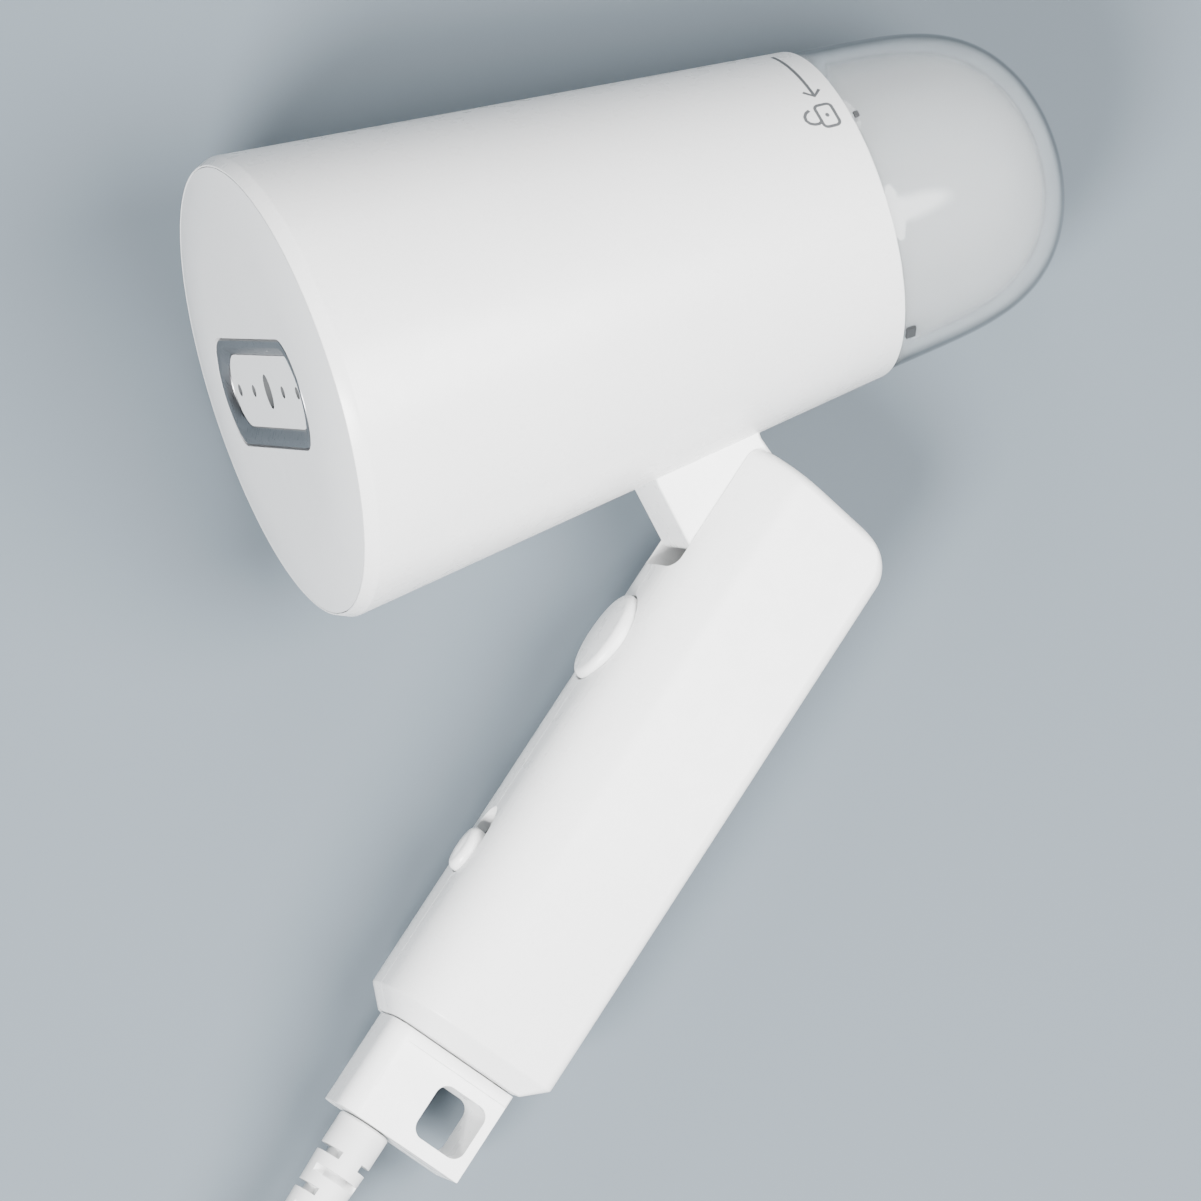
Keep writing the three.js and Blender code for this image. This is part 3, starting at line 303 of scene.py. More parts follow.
def frosted_plastic():
    nodes = Nodes("frosted", (0.92, 0.93, 0.935), 0.4)
    nodes.shader.inputs["Transmission Weight"].default_value = 0.15
    nodes.shader.inputs["IOR"].default_value = 1.3
    nodes.tint(nodes.noise(30, 2), (0.885, 0.895, 0.9), (0.93, 0.935, 0.94))
    nodes.rough(nodes.noise(300), 0.35, 0.5)
    nodes.bump(nodes.noise(900, 2), 0.00003, 0.4)
    return nodes.material


FINISH = {
    "white_shell": plastic("white_shell", (0.92, 0.92, 0.915), 0.24, 0.34),
    "grey_panel": plastic("grey_panel", (0.8, 0.805, 0.81), 0.36, 0.48),
    "bezel_metal": metal("bezel_metal", (0.33, 0.33, 0.34), 0.26, 0.38, (1, 1, 14)),
    "clear_tank": clear_plastic(),
    "frosted": frosted_plastic(),
    "dark_plastic": plastic("dark_plastic", (0.05, 0.052, 0.055), 0.35, 0.5),
    "rubber": plastic("rubber", (0.12, 0.125, 0.13), 0.6, 0.8, 900),
    "copper": metal("copper", (0.72, 0.36, 0.18), 0.25, 0.4, (1, 60, 1)),
    "brass": metal("brass", (0.75, 0.58, 0.26), 0.22, 0.35),
    "alloy": metal("alloy", (0.62, 0.63, 0.64), 0.4, 0.6, None, 0.00012),
    "steel": metal("steel", (0.55, 0.555, 0.56), 0.2, 0.34),
    "board": plastic("board", (0.04, 0.2, 0.09), 0.3, 0.5),
    "cord_white": plastic("cord_white", (0.78, 0.78, 0.775), 0.42, 0.56, 1300, 0.00003),
}
INK = plastic("print_ink", (0.1, 0.105, 0.11), 0.45, 0.6)


# ---------- building pieces ----------
def add_piece(name, mesh, place, body, finish, stands_for=(), sharp=32):
    mesh.transform(place)
    for polygon in mesh.polygons:
        polygon.use_smooth = True
    mesh.set_sharp_from_angle(angle=math.radians(sharp))
    piece = bpy.data.objects.new(name, mesh)
    bpy.context.collection.objects.link(piece)
    mesh.materials.clear()
    mesh.materials.append(FINISH[finish])
    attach(piece, body)
    if stands_for:
        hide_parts(*stands_for)
    return piece


def mesh_from(name, verts, faces):
    mesh = bpy.data.meshes.new(name)
    mesh.from_pydata([tuple(v) for v in verts], [], faces)
    mesh.update()
    work = bmesh.new()
    work.from_mesh(mesh)
    bmesh.ops.remove_doubles(work, verts=work.verts, dist=1e-7)
    bmesh.ops.recalc_face_normals(work, faces=work.faces)
    work.to_mesh(mesh)
    work.free()
    return mesh


def loft_mesh(name, rings, cap=True, loop=False):
    """Rings of equal length joined into a skin, closed by end faces or by joining the last to the first."""
    count = len(rings[0])
    verts = [point for ring in rings for point in ring]
    faces = []
    spans = len(rings) if loop else len(rings) - 1
    for k in range(spans):
        for i in range(count):
            a, b = k * count + i, k * count + (i + 1) % count
            c, d = ((k + 1) % len(rings)) * count + (i + 1) % count, ((k + 1) % len(rings)) * count + i
            faces.append((a, b, c, d))
    if cap and not loop:
        faces.append(tuple(reversed(range(count))))
        faces.append(tuple(range((len(rings) - 1) * count, len(rings) * count)))
    return mesh_from(name, verts, faces)


def turned_mesh(name, profile, segments=160, y=0.0, z=0.0, loop=False):
    """Solid of revolution about x from (x, r) pairs; radius zero closes an end."""
    rings = []
    for x, r in profile:
        rings.append([(x, y + r * math.cos(i / segments * math.tau),
                       z + r * math.sin(i / segments * math.tau))
                      for i in range(segments)])
    return loft_mesh(name, rings, cap=False, loop=loop)


def rounded(profile, radius, steps=5, closed=True):
    """The outline with each corner replaced by a small arc."""
    out = []
    count = len(profile)
    for i, corner in enumerate(profile):
        if not closed and i in (0, count - 1):
            out.append(corner)
            continue
        here = Vector(corner)
        before = Vector(profile[i - 1]) - here
        after = Vector(profile[(i + 1) % count]) - here
        reach = min(radius, before.length * 0.45, after.length * 0.45)
        a, b = here + before.normalized() * reach, here + after.normalized() * reach
        for k in range(steps + 1):
            t = k / steps
            out.append(tuple((1 - t) ** 2 * a + 2 * t * (1 - t) * here + t ** 2 * b))
    return out


def boolean(mesh, tool, operation="DIFFERENCE"):
    """The mesh cut by, or kept inside, the tool mesh."""
    body = bpy.data.objects.new("body_work", mesh)
    cutter = bpy.data.objects.new("tool_work", tool)
    for item in (body, cutter):
        bpy.context.collection.objects.link(item)
    modifier = body.modifiers.new("cut", "BOOLEAN")
    modifier.operation = operation
    modifier.solver = "EXACT"
    modifier.object = cutter
    bpy.context.view_layer.update()
    evaluated = body.evaluated_get(bpy.context.evaluated_depsgraph_get())
    result = bpy.data.meshes.new_from_object(evaluated)
    for item in (body, cutter):
        bpy.data.objects.remove(item)
    return result


def box_mesh(name, low, high):
    (x0, y0, z0), (x1, y1, z1) = low, high
    verts = [(x, y, z) for x in (x0, x1) for y in (y0, y1) for z in (z0, z1)]
    faces = [(0, 1, 3, 2), (4, 6, 7, 5), (0, 4, 5, 1), (2, 3, 7, 6), (0, 2, 6, 4), (1, 5, 7, 3)]
    return mesh_from(name, verts, faces)


def arc(cx, cy, r, start, end, steps):
    return [(cx + r * math.cos(math.radians(start + (end - start) * i / steps)),
             cy + r * math.sin(math.radians(start + (end - start) * i / steps))) for i in range(steps + 1)]


def rounded_box(x0, x1, y0, y1, r, steps=8):
    """Outline of a rectangle with round corners, anticlockwise."""
    return (arc(x1 - r, y0 + r, r, -90, 0, steps) + arc(x1 - r, y1 - r, r, 0, 90, steps)
            + arc(x0 + r, y1 - r, r, 90, 180, steps) + arc(x0 + r, y0 + r, r, 180, 270, steps))


def prism(name, outline, low, high, along):
    """Outline pushed along one axis: 'x' takes (y, z) pairs, 'z' takes (x, y) pairs."""
    if along == "x":
        rings = [[(level, a, b) for a, b in outline] for level in (low, high)]
    else:
        rings = [[(a, b, level) for a, b in outline] for level in (low, high)]
    return loft_mesh(name, rings)


def soften(piece, width, segments=3, limit=35):
    """Small rounding on the piece's sharp edges."""
    modifier = piece.modifiers.new("edge_round", "BEVEL")
    modifier.width = width
    modifier.segments = segments
    modifier.limit_method = "ANGLE"
    modifier.angle_limit = math.radians(limit)
    modifier.harden_normals = True
    return piece


# ---------- camera and light ----------
def place_camera():
    look = Vector((math.sin(VIEW_YAW) * math.cos(VIEW_PITCH), math.cos(VIEW_YAW) * math.cos(VIEW_PITCH),
                   math.sin(VIEW_PITCH)))
    level = look.cross(Vector((0, 0, 1))).normalized()
    upright = level.cross(look)
    right = math.cos(VIEW_ROLL) * level - math.sin(VIEW_ROLL) * upright
    up = right.cross(look)
    turn = Matrix((right, up, -look)).transposed().to_4x4()
    data = bpy.data.cameras.new("camera")
    data.lens = LENS
    data.sensor_width = SENSOR
    data.clip_end = 20
    camera = bpy.data.objects.new("camera", data)
    bpy.context.collection.objects.link(camera)
    camera.matrix_world = HEAD @ Matrix.Translation(VIEW_PLACE) @ turn
    bpy.context.scene.camera = camera
    return camera


def area_light(name, place, target, size, power, tone=(1, 1, 1)):
    data = bpy.data.lights.new(name, "AREA")
    data.shape = "DISK"
    data.size = size
    data.energy = power
    data.color = tone
    lamp = bpy.data.objects.new(name, data)
    bpy.context.collection.objects.link(lamp)
    lamp.location = place
    lamp.rotation_euler = (Vector(target) - Vector(place)).to_track_quat("-Z", "Y").to_euler()


def studio():
    floor_mesh = box_mesh("studio_floor", (-4, -4, -0.02), (4, 4, 0))
    floor = bpy.data.objects.new("studio_floor", floor_mesh)
    bpy.context.collection.objects.link(floor)
    nodes = Nodes("floor_paper", FLOOR_COLOR, 0.75)
    nodes.bump(nodes.noise(300, 3), 0.0001, 0.2)
    floor_mesh.materials.append(nodes.material)
    area_light("key", (0.45, -0.3, 1.1), (0, 0, 0.03), 0.8, 36)
    area_light("face_glow", (-0.75, -0.42, 0.95), (0, 0, 0.03), 0.45, 42)
    area_light("top_rim", (0.2, 0.95, 0.6), (0, 0, 0.03), 0.5, 5)
    world = bpy.data.worlds.new("studio_world")
    world.use_nodes = True
    tree = world.node_tree
    background = tree.nodes["Background"]
    background.inputs["Strength"].default_value = SKY_STRENGTH
    sky = tree.nodes.new("ShaderNodeValToRGB")
    sky.color_ramp.elements[0].position = SKY_FROM
    sky.color_ramp.elements[1].position = SKY_TO
    sky.color_ramp.elements[0].color = (*HORIZON_COLOR, 1)
    sky.color_ramp.elements[1].color = (*ZENITH_COLOR, 1)
    direction = tree.nodes.new("ShaderNodeTexCoord").outputs["Generated"]
    height = tree.nodes.new("ShaderNodeSeparateXYZ")
    tree.links.new(direction, height.inputs["Vector"])
    tree.links.new(height.outputs["Z"], sky.inputs["Fac"])
    tree.links.new(sky.outputs["Color"], background.inputs["Color"])
    bpy.context.scene.world = world


# ---------- cord ----------
def smooth(t):
    t = min(max(t, 0.0), 1.0)
    return t * t * (3 - 2 * t)


def coil_radius_and_height(turn):
    """Radius and height of the cord after so many turns: in on the first layer, out on the second."""
    whole = int(turn + 1e-9)
    jog = smooth((turn - whole - (1 - COIL_JOG)) / COIL_JOG)
    stops = [(2, 0), (1, 0), (0, 0), (0, 1), (1, 1), (2, 1), (2, 2), (2, 2)]
    (ring_a, layer_a), (ring_b, layer_b) = stops[whole], stops[whole + 1]
    radius = COIL_TURN_R[ring_a] + (COIL_TURN_R[ring_b] - COIL_TURN_R[ring_a]) * jog
    height = COIL_LAYERS[layer_a] + (COIL_LAYERS[layer_b] - COIL_LAYERS[layer_a]) * jog
    return radius, height


def coil_points(steps_per_turn=28):
    points = []
    for i in range(int(COIL_TURNS * steps_per_turn) + 1):
        turn = i / steps_per_turn
        radius, height = coil_radius_and_height(turn)
        angle = math.radians(COIL_START_DEG) + turn * math.tau
        points.append(COIL_CENTRE + Vector((radius * math.cos(angle), radius * math.sin(angle), height)))
    return points


def leaving_points():
    """From the coil's top layer out beside it: the turn opens to the tail's first point."""
    points = []
    for degrees, radius, height in LEAVING_TURN:
        angle = math.radians(degrees)
        points.append(COIL_CENTRE + Vector((radius * math.cos(angle), radius * math.sin(angle), height)) * MM)
    return points


def cord_curve(name, points, radius):
    data = bpy.data.curves.new(name, "CURVE")
    data.dimensions = "3D"
    data.bevel_depth = radius
    data.bevel_resolution = 6
    data.resolution_u = 6
    data.use_fill_caps = True
    spline = data.splines.new("BEZIER")
    spline.bezier_points.add(len(points) - 1)
    for knot, point in zip(spline.bezier_points, points):
        knot.co = point
        knot.handle_left_type = "AUTO"
        knot.handle_right_type = "AUTO"
    data.materials.append(FINISH["cord_white"])
    piece = bpy.data.objects.new(name, data)
    bpy.context.collection.objects.link(piece)
    return piece


def plug_rings():
    stations = [(0, 4.2, 3.6), (0.6, 4.6, 4.0), (6, 4.9, 4.2), (13, 5.6, 4.8), (16, 6.8, 5.2), (18.5, 9, 5.8),
                (21, 11.6, 6.2), (24, 13, 6.4), (39, 13, 6.4), (41, 12.7, 6.2), (41.8, 12, 5.6),
                (PLUG_LENGTH / MM, 11, 4.8)]
    return [[(x * MM, y, z) for y, z in rounded_box(-half * MM, half * MM, -high * MM, high * MM,
                                                   min(4.5, high - 0.1) * MM)] for x, half, high in stations]


def tie_mesh():
    inner = COIL_TURN_R[0] - CORD_R - 0.9 * MM
    outer = COIL_TURN_R[2] + CORD_R + 0.3 * MM
    low, high = 0.6 * MM, 19.6 * MM
    hole = rounded_box(inner, outer, low, high, 1.6 * MM)
    rim = rounded_box(inner - 0.8 * MM, outer + 0.8 * MM, low - 0.55 * MM, high + 0.8 * MM, 2.2 * MM)
    rings = [[(x, -4 * MM, z) for x, z in rim], [(x, 4 * MM, z) for x, z in rim],
             [(x, 4 * MM, z) for x, z in hole], [(x, -4 * MM, z) for x, z in hole]]
    mesh = loft_mesh("cord_tie_skin", rings, loop=True)
    mesh.transform(Matrix.Translation(COIL_CENTRE) @ Matrix.Rotation(math.radians(20), 4, "Z"))
    return mesh


def make_cord():
    route = [Vector(p) * MM for p in LEAD_ROUTE] + coil_points() + leaving_points()
    route += [Vector(p) * MM for p in TAIL_ROUTE]
    lead = cord_curve("mains_lead", route, CORD_R)
    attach(lead, "handle")
    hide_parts("cord_lead", "cord_coil", "cord_tail")
    plug = add_piece("plug_skin", loft_mesh("plug_skin", plug_rings()), Matrix.Translation(PLUG_START),
                     "handle", "white_shell", ("plug_body",))
    tie = soften(add_piece("cord_tie_skin", tie_mesh(), WORLD, "handle", "dark_plastic", ("cord_tie",)),
                 0.2 * MM)
    for side, name in ((1, "plug_pin_left"), (-1, "plug_pin_right")):
        profile = [(PLUG_LENGTH + x * MM, r * MM) for x, r in
                   ((0.3, 0), (0.3, 2), (10, 2), (17.6, 2), (18.6, 1.6), (19.2, 0.8), (19.3, 0))]
        mesh = turned_mesh(name + "_skin", profile, 40, side * PLUG_PIN_SPREAD)
        add_piece(name + "_skin", mesh, Matrix.Translation(PLUG_START), "handle", "steel",
                              (name,))
    relief = make_relief()
    return relief


def make_relief():
    """Tapered sleeve with pairs of notches that alternate between front and back, and left and right."""
    end = RELIEF_START + RELIEF_LENGTH
    soft = 0.4 * MM
    profile = [(RELIEF_START, 0), (RELIEF_START, RELIEF_R - soft), (RELIEF_START + soft, RELIEF_R),
               (RELIEF_START + NOTCH_FIRST, RELIEF_R), (end - soft, RELIEF_END_R),
               (end, RELIEF_END_R - soft), (end, 0)]
    mesh = turned_mesh("strain_relief_skin", profile, 72, RELIEF_ACROSS)
    reach = RELIEF_R + MM
    for i in range(NOTCH_COUNT):
        x = RELIEF_START + NOTCH_FIRST + i * NOTCH_PITCH
        for side in (-1, 1):
            near, far = sorted((side * NOTCH_FROM, side * reach))
            if i % 2 == 0:
                low, high = (x, RELIEF_ACROSS + near, -reach), (x + NOTCH_WIDTH, RELIEF_ACROSS + far, reach)
            else:
                low, high = (x, RELIEF_ACROSS - reach, near), (x + NOTCH_WIDTH, RELIEF_ACROSS + reach, far)
            mesh = boolean(mesh, box_mesh("notch", low, high))
    core = turned_mesh("relief_core", [(RELIEF_START + MM, 0), (RELIEF_START + MM, RELIEF_CORE_R),
                                       (end - MM, RELIEF_CORE_R), (end - MM, 0)], 48, RELIEF_ACROSS)
    mesh = boolean(mesh, core, "UNION")
    piece = add_piece("strain_relief_skin", mesh, GRIP, "handle", "cord_white", ("strain_relief",))
    return soften(piece, 0.15 * MM, 2, 50)


# ---------- head ----------
def shell_radius(x):
    return FRONT_R - TAPER * (x - RIM_DEPTH)


def make_head_shell():
    ledge = 5.6 * MM
    corners = [(0, FACE_R - 0.3 * MM), (0, FACE_R), (RIM_DEPTH, FRONT_R), (HEAD_LENGTH, REAR_R),
               (HEAD_LENGTH, REAR_R - HEAD_WALL), (ledge, shell_radius(ledge) - HEAD_WALL),
               (ledge, 40.5 * MM), (3.6 * MM, 40.5 * MM), (3.6 * MM, FACE_R - 0.3 * MM)]
    mesh = turned_mesh("head_shell_skin", rounded(corners, 0.35 * MM, 3), 256, loop=True)
    add_piece("head_shell_skin", mesh, HEAD, "head", "white_shell", ("head_shell",), 26)


def bezier(a, b, c, steps):
    return [tuple((1 - t) ** 2 * a + 2 * t * (1 - t) * b + t * t * c)
            for t in (i / steps for i in range(steps + 1))]


def window_outline(inset, steps=20):
    """Straight long sides with ends that bow outward and small round corners, as (y, z) points."""
    w = WINDOW_HALF_W - inset * 0.75
    h = WINDOW_HALF_H - inset
    tip = w + 2 * (WINDOW_BOW - inset * 0.2)
    corner = WINDOW_CORNER_R
    cut = corner / (2 * h)

    def side(t):
        return Vector(((1 - t) ** 2 * w + 2 * t * (1 - t) * tip + t * t * w, h * (2 * t - 1)))

    right = bezier(Vector((w - corner, -h)), Vector((w, -h)), side(cut), 6)
    right += [tuple(side(cut + (1 - 2 * cut) * i / steps)) for i in range(1, steps)]
    right += bezier(side(1 - cut), Vector((w, h)), Vector((w - corner, h)), 6)
    return right + [(-y, -z) for y, z in right]


def make_front_panel():
    """Flat middle, slightly proud of the rim, that falls away towards the edge."""
    edge = FACE_R - 0.45 * MM
    profile = [(-FACE_PROUD, 0), (-FACE_PROUD, FACE_FLAT_R)]
    for i in range(1, 13):
        t = i / 12
        profile.append((-FACE_PROUD * (1 - t * t), FACE_FLAT_R + (edge - FACE_FLAT_R) * t))
    disc = turned_mesh("front_panel_skin", profile + [(PANEL_THICK, edge), (PANEL_THICK, 0)], 256)
    mesh = boolean(disc, prism("panel_window", window_outline(-0.02 * MM), -0.01, 0.01, "x"))
    add_piece("front_panel_skin", mesh, HEAD, "head", "grey_panel", ("front_panel",))


def make_bezel():
    """Metal frame: flat rim, then a slope down to the plate."""
    steps = [(BEZEL_DEPTH, 0.35), (0.3 * MM - FACE_PROUD, 0.3), (0.03 * MM - FACE_PROUD, 0.5),
             (0.03 * MM - FACE_PROUD, 1.6), (0.25 * MM - FACE_PROUD, 1.9), (PLATE_FRONT - 0.25 * MM, 3.3),
             (PLATE_FRONT, 3.5), (BEZEL_DEPTH, 3.6)]
    rings = [[(x, y, z) for y, z in window_outline(inset * MM)] for x, inset in steps]
    mesh = loft_mesh("nozzle_bezel_skin", rings, loop=True)
    add_piece("nozzle_bezel_skin", mesh, HEAD, "head", "bezel_metal", ("nozzle_bezel",), 40)


def make_nozzle_plate():
    mesh = prism("nozzle_plate_skin", window_outline(BEZEL_WIDTH + 0.05 * MM), PLATE_FRONT,
                 PLATE_FRONT + PLATE_THICK, "x")
    for y, (half_w, half_h) in [(0, STEAM_SLOT)] + [(y, STEAM_HOLE) for y in STEAM_HOLES_AT]:
        outline = [(y + half_w * math.cos(i / 32 * math.tau), half_h * math.sin(i / 32 * math.tau))
                   for i in range(32)]
        mesh = boolean(mesh, prism("steam_hole", outline, -0.01, 0.01, "x"))
    piece = add_piece("nozzle_plate_skin", mesh, HEAD, "head", "grey_panel", ("nozzle_plate",))
    # Painted shade: the side walls of the steam slot and holes take the dark rubber finish, standing in for
    # the shade inside the holes.
    mesh.materials.append(FINISH["rubber"])
    forward = HEAD.to_3x3() @ Vector((1, 0, 0))
    for polygon in mesh.polygons:
        place = HEAD.inverted() @ polygon.center
        inside = abs(place.z) < STEAM_SLOT[1] and abs(place.y) < STEAM_HOLES_AT[-1] + STEAM_HOLE[0]
        if inside and abs(polygon.normal.dot(forward)) < 0.5:
            polygon.material_index = 1


def on_shell(x, degrees, lift):
    """Point on the head's outside: degrees from the top, towards the left side."""
    r = shell_radius(x) + lift
    angle = math.radians(degrees)
    return Vector((x, -r * math.sin(angle), r * math.cos(angle)))


def printed_line(name, route, width, closed=False):
    """Thin ink line on the head's outside, from (x, degrees) points."""
    count = len(route)
    rings = []
    for i in range(count):
        here = Vector(route[i])
        following = Vector(route[(i + 1) % count]) if closed or i < count - 1 else None
        before = Vector(route[i - 1]) if closed or i > 0 else None
        along = (following if following is not None else here) - (before if before is not None else here)
        scale = shell_radius(here.x) * math.pi / 180
        direction = Vector((along.x, along.y * scale)).normalized()
        across = Vector((-direction.y, direction.x / scale)) * width / 2
        corners = []
        for side, lift in ((1, 0.005), (1, 0.06), (-1, 0.06), (-1, 0.005)):
            point = here + across * side
            corners.append(on_shell(point.x, point.y, lift * MM))
        rings.append(corners)
    mesh = loft_mesh(name, rings, cap=not closed, loop=closed)
    piece = add_piece(name, mesh, HEAD, "head", "dark_plastic")
    mesh.materials[0] = INK
    return piece


def make_symbols():
    """Turn arrow and open padlock by the rear edge, on the head's left, as (x before the edge, degrees)."""
    line = 0.62 * MM
    across = HEAD_LENGTH - 4.7 * MM
    sweep = [(across, 10 + 32 * i / 24) for i in range(25)]
    printed_line("print_arrow_line", sweep, line)
    barbs = [(across - 1.7 * MM, 39.6), (across, 42.4), (across + 1.7 * MM, 39.6)]
    printed_line("print_arrow_head", barbs, line)
    lock_x, lock_at = HEAD_LENGTH - 4.55 * MM, 51.3
    half_x, half_deg = 1.7, 4.6
    corner = rounded_box(-half_x, half_x, -2.7, 2.7, 0.9, 4)
    body = [(lock_x + x * MM, lock_at + y / 2.7 * half_deg) for x, y in corner]
    printed_line("print_lock_body", body, line, closed=True)
    dot = [(lock_x + 0.22 * MM * math.cos(k), lock_at + 0.5 * math.sin(k))
           for k in (i / 8 * math.tau for i in range(8))]
    printed_line("print_lock_dot", dot, 0.4 * MM, closed=True)
    shackle = [(110.2, 53.4), (109.5, 54.0), (108.6, 53.9), (107.8, 53.1), (107.35, 51.7), (107.5, 50.1),
               (108.1, 48.8), (109.0, 48.0)]
    printed_line("print_lock_shackle", [(x * MM, degrees) for x, degrees in shackle], line)


def make_fin():
    pivot = HEAD.inverted() @ Vector(joints["fold_hinge"]["pos_m"])
    outline = FIN_FRONT_EDGE + arc(pivot.x, pivot.z, BOSS_R, 220, 360, 20) + FIN_REAR_EDGE
    rings = [[(x, side * FIN_HALF, z) for x, z in outline] for side in (-1, 1)]
    blade = loft_mesh("neck_bracket_skin", rings)
    base = box_mesh("bracket_base", *FIN_BASE)
    piece = add_piece("neck_bracket_skin", boolean(blade, base, "UNION"), HEAD, "head", "white_shell",
                      ("neck_bracket",))
    soften(piece, 0.7 * MM, 4)


# ---------- tank ----------
def dome(inset, length, steps=60):
    profile = []
    for i in range(steps + 1):
        u = math.sin(i / steps * math.pi / 2)
        straight = TANK_R - inset + (TANK_END_R - TANK_R) * u
        profile.append((TANK_FRONT + length * u, straight * math.sqrt(max(0.0, 1 - u ** DOME_POWER))))
    profile[-1] = (TANK_FRONT + length, 0)
    return profile


def cup_mesh(name, inset, wall, front, segments=192):
    outer = [p for p in dome(inset, TANK_LENGTH - inset) if p[0] >= front]
    inner = [p for p in dome(inset + wall, TANK_LENGTH - inset - wall) if p[0] >= front]
    start = [(front, inner[0][1] + 0.3 * MM), (front, outer[0][1] - 0.3 * MM)]
    return turned_mesh(name, list(reversed(inner)) + start + outer[1:], segments)


def make_tank():
    add_piece("tank_shell_skin", cup_mesh("tank_shell_skin", 0, TANK_WALL, TANK_FRONT), HEAD, "tank",
              "clear_tank", ("tank_shell",), 60)
    add_piece("tank_liner_skin", cup_mesh("tank_liner_skin", LINER_INSET, LINER_WALL, LINER_FRONT), HEAD,
              "tank", "frosted", ("tank_liner",), 60)


# ---------- grip ----------
def edge_drop(depth, radius):
    return 0.0 if depth >= radius else radius - math.sqrt(radius ** 2 - (radius - depth) ** 2)


def grip_ring(x, back, front, half, front_r, back_r, slope=0.0, steps=14):
    """Rounded section at x; slope tilts it about its front, so that its back lies further along x."""
    limit = min((front - back) / 2, half) - 0.2 * MM
    f, b = min(front_r, limit), min(back_r, limit)
    outline = (arc(front - f, half - f, f, 0, 90, steps) + arc(back + b, half - b, b, 90, 180, steps)
               + arc(back + b, b - half, b, 180, 270, steps) + arc(front - f, f - half, f, 270, 360, steps))
    return [(x + slope * (GRIP_FRONT - y), y, z) for y, z in outline]


def grip_body():
    rings = []
    steps = 30
    for i in range(steps + 1):
        depth = BACK_CORNER_R * (1 - math.cos(i / steps * math.pi / 2))
        rings.append(grip_ring(GRIP_TOP + depth, GRIP_BACK + edge_drop(depth, BACK_CORNER_R),
                               GRIP_FRONT - edge_drop(depth, FRONT_CORNER_R),
                               GRIP_HALF - edge_drop(depth, END_EDGE_R), FRONT_EDGE_R, BACK_EDGE_R,
                               END_SLOPE * (1 - depth / END_SLOPE_FADE)))
    rings.append(grip_ring(GRIP_TOP + END_SLOPE_FADE, GRIP_BACK, GRIP_FRONT, GRIP_HALF, FRONT_EDGE_R,
                           BACK_EDGE_R))
    soft = 0.3 * MM
    for x, inset in ((GRIP_BOTTOM - GRIP_CHAMFER - soft, 0), (GRIP_BOTTOM - GRIP_CHAMFER, 0.1 * MM),
                     (GRIP_BOTTOM - GRIP_CHAMFER + soft, 0.4 * MM), (GRIP_BOTTOM - soft, GRIP_CHAMFER - soft),
                     (GRIP_BOTTOM, GRIP_CHAMFER)):
        rings.append(grip_ring(x, GRIP_BACK + inset, GRIP_FRONT - inset, GRIP_HALF - inset,
                               FRONT_EDGE_R - inset, max(BACK_EDGE_R - inset, MM)))
    return loft_mesh("grip_body", rings)


def grip_cavity():
    back, front = GRIP_BACK + GRIP_WALL, GRIP_FRONT - GRIP_WALL
    half, radius = GRIP_HALF - GRIP_WALL, FRONT_EDGE_R - GRIP_WALL
    inset = 3 * MM
    return loft_mesh("grip_cavity", [
        grip_ring(23 * MM, back, front, half, radius, MM),
        grip_ring(GRIP_BOTTOM - GRIP_CHAMFER - MM, back, front, half, radius, MM),
        grip_ring(GRIP_BOTTOM - GRIP_WALL, back + inset, front - inset, half - inset, radius - inset, MM)])


def oval_outline(x, half_l, half_w, count=72):
    return [(x + half_l * math.cos(i / count * math.tau), half_w * math.sin(i / count * math.tau))
            for i in range(count)]


def oval_tool(name, x, half_l, half_w, low, high):
    rings = [[(a, level, b) for a, b in oval_outline(x, half_l, half_w)] for level in (low, high)]
    return loft_mesh(name, rings)


def slot_tool():
    outline = [(GRIP_TOP - 2 * MM, -SLOT_HALF)]
    outline += arc(SLOT_END - SLOT_CORNER_R, SLOT_CORNER_R - SLOT_HALF, SLOT_CORNER_R, -90, 0, 8)
    outline += arc(SLOT_END - SLOT_CORNER_R, SLOT_HALF - SLOT_CORNER_R, SLOT_CORNER_R, 0, 90, 8)
    outline += [(GRIP_TOP - 2 * MM, SLOT_HALF)]
    rings = [[(x, level, z) for x, z in outline] for level in (SLOT_DEPTH, GRIP_FRONT + 2 * MM)]
    return loft_mesh("slot_tool", rings)


def post_tool(name, x, y, r, low, high):
    outline = [(x + r * math.cos(i / 40 * math.tau), y + r * math.sin(i / 40 * math.tau)) for i in range(40)]
    return prism(name, outline, low, high, "z")


def make_grip():
    whole = boolean(grip_body(), grip_cavity())
    whole = boolean(whole, slot_tool())
    whole = boolean(whole, oval_tool("button_hole", BUTTON_AT, BUTTON_HALF_L + HOLE_CLEARANCE,
                                     BUTTON_HALF_W + HOLE_CLEARANCE, 4 * MM, GRIP_FRONT + 2 * MM))
    slot_at = KNOB_AT - KNOB_TRAVEL / 2
    whole = boolean(whole, oval_tool("knob_slot", slot_at, KNOB_HALF_L + KNOB_TRAVEL / 2 + 0.4 * MM,
                                     KNOB_HALF_W + 0.9 * MM, 5 * MM, GRIP_FRONT + 2 * MM))
    whole = boolean(whole, box_mesh("stem_hole", (107 * MM, -19.3 * MM, -5 * MM), (0.13, 2.5 * MM, 5 * MM)))
    for name, (x, y) in SCREWS.items():
        whole = boolean(whole, post_tool(name + "_seat", x, y, 3.3 * MM, SCREW_SEAT, 20 * MM))
    seam = 0.06 * MM
    for side, low, high in (("left", -20 * MM, -seam), ("right", seam, 20 * MM)):
        keep = box_mesh("half_" + side, (-0.05, -0.05, low), (0.15, 0.05, high))
        mesh = boolean(whole.copy(), keep, "INTERSECT")
        name = "handle_shell_" + side
        piece = add_piece(name + "_skin", mesh, GRIP, "handle", "white_shell", (name,), 30)
        soften(piece, 0.3 * MM, 2, 50)


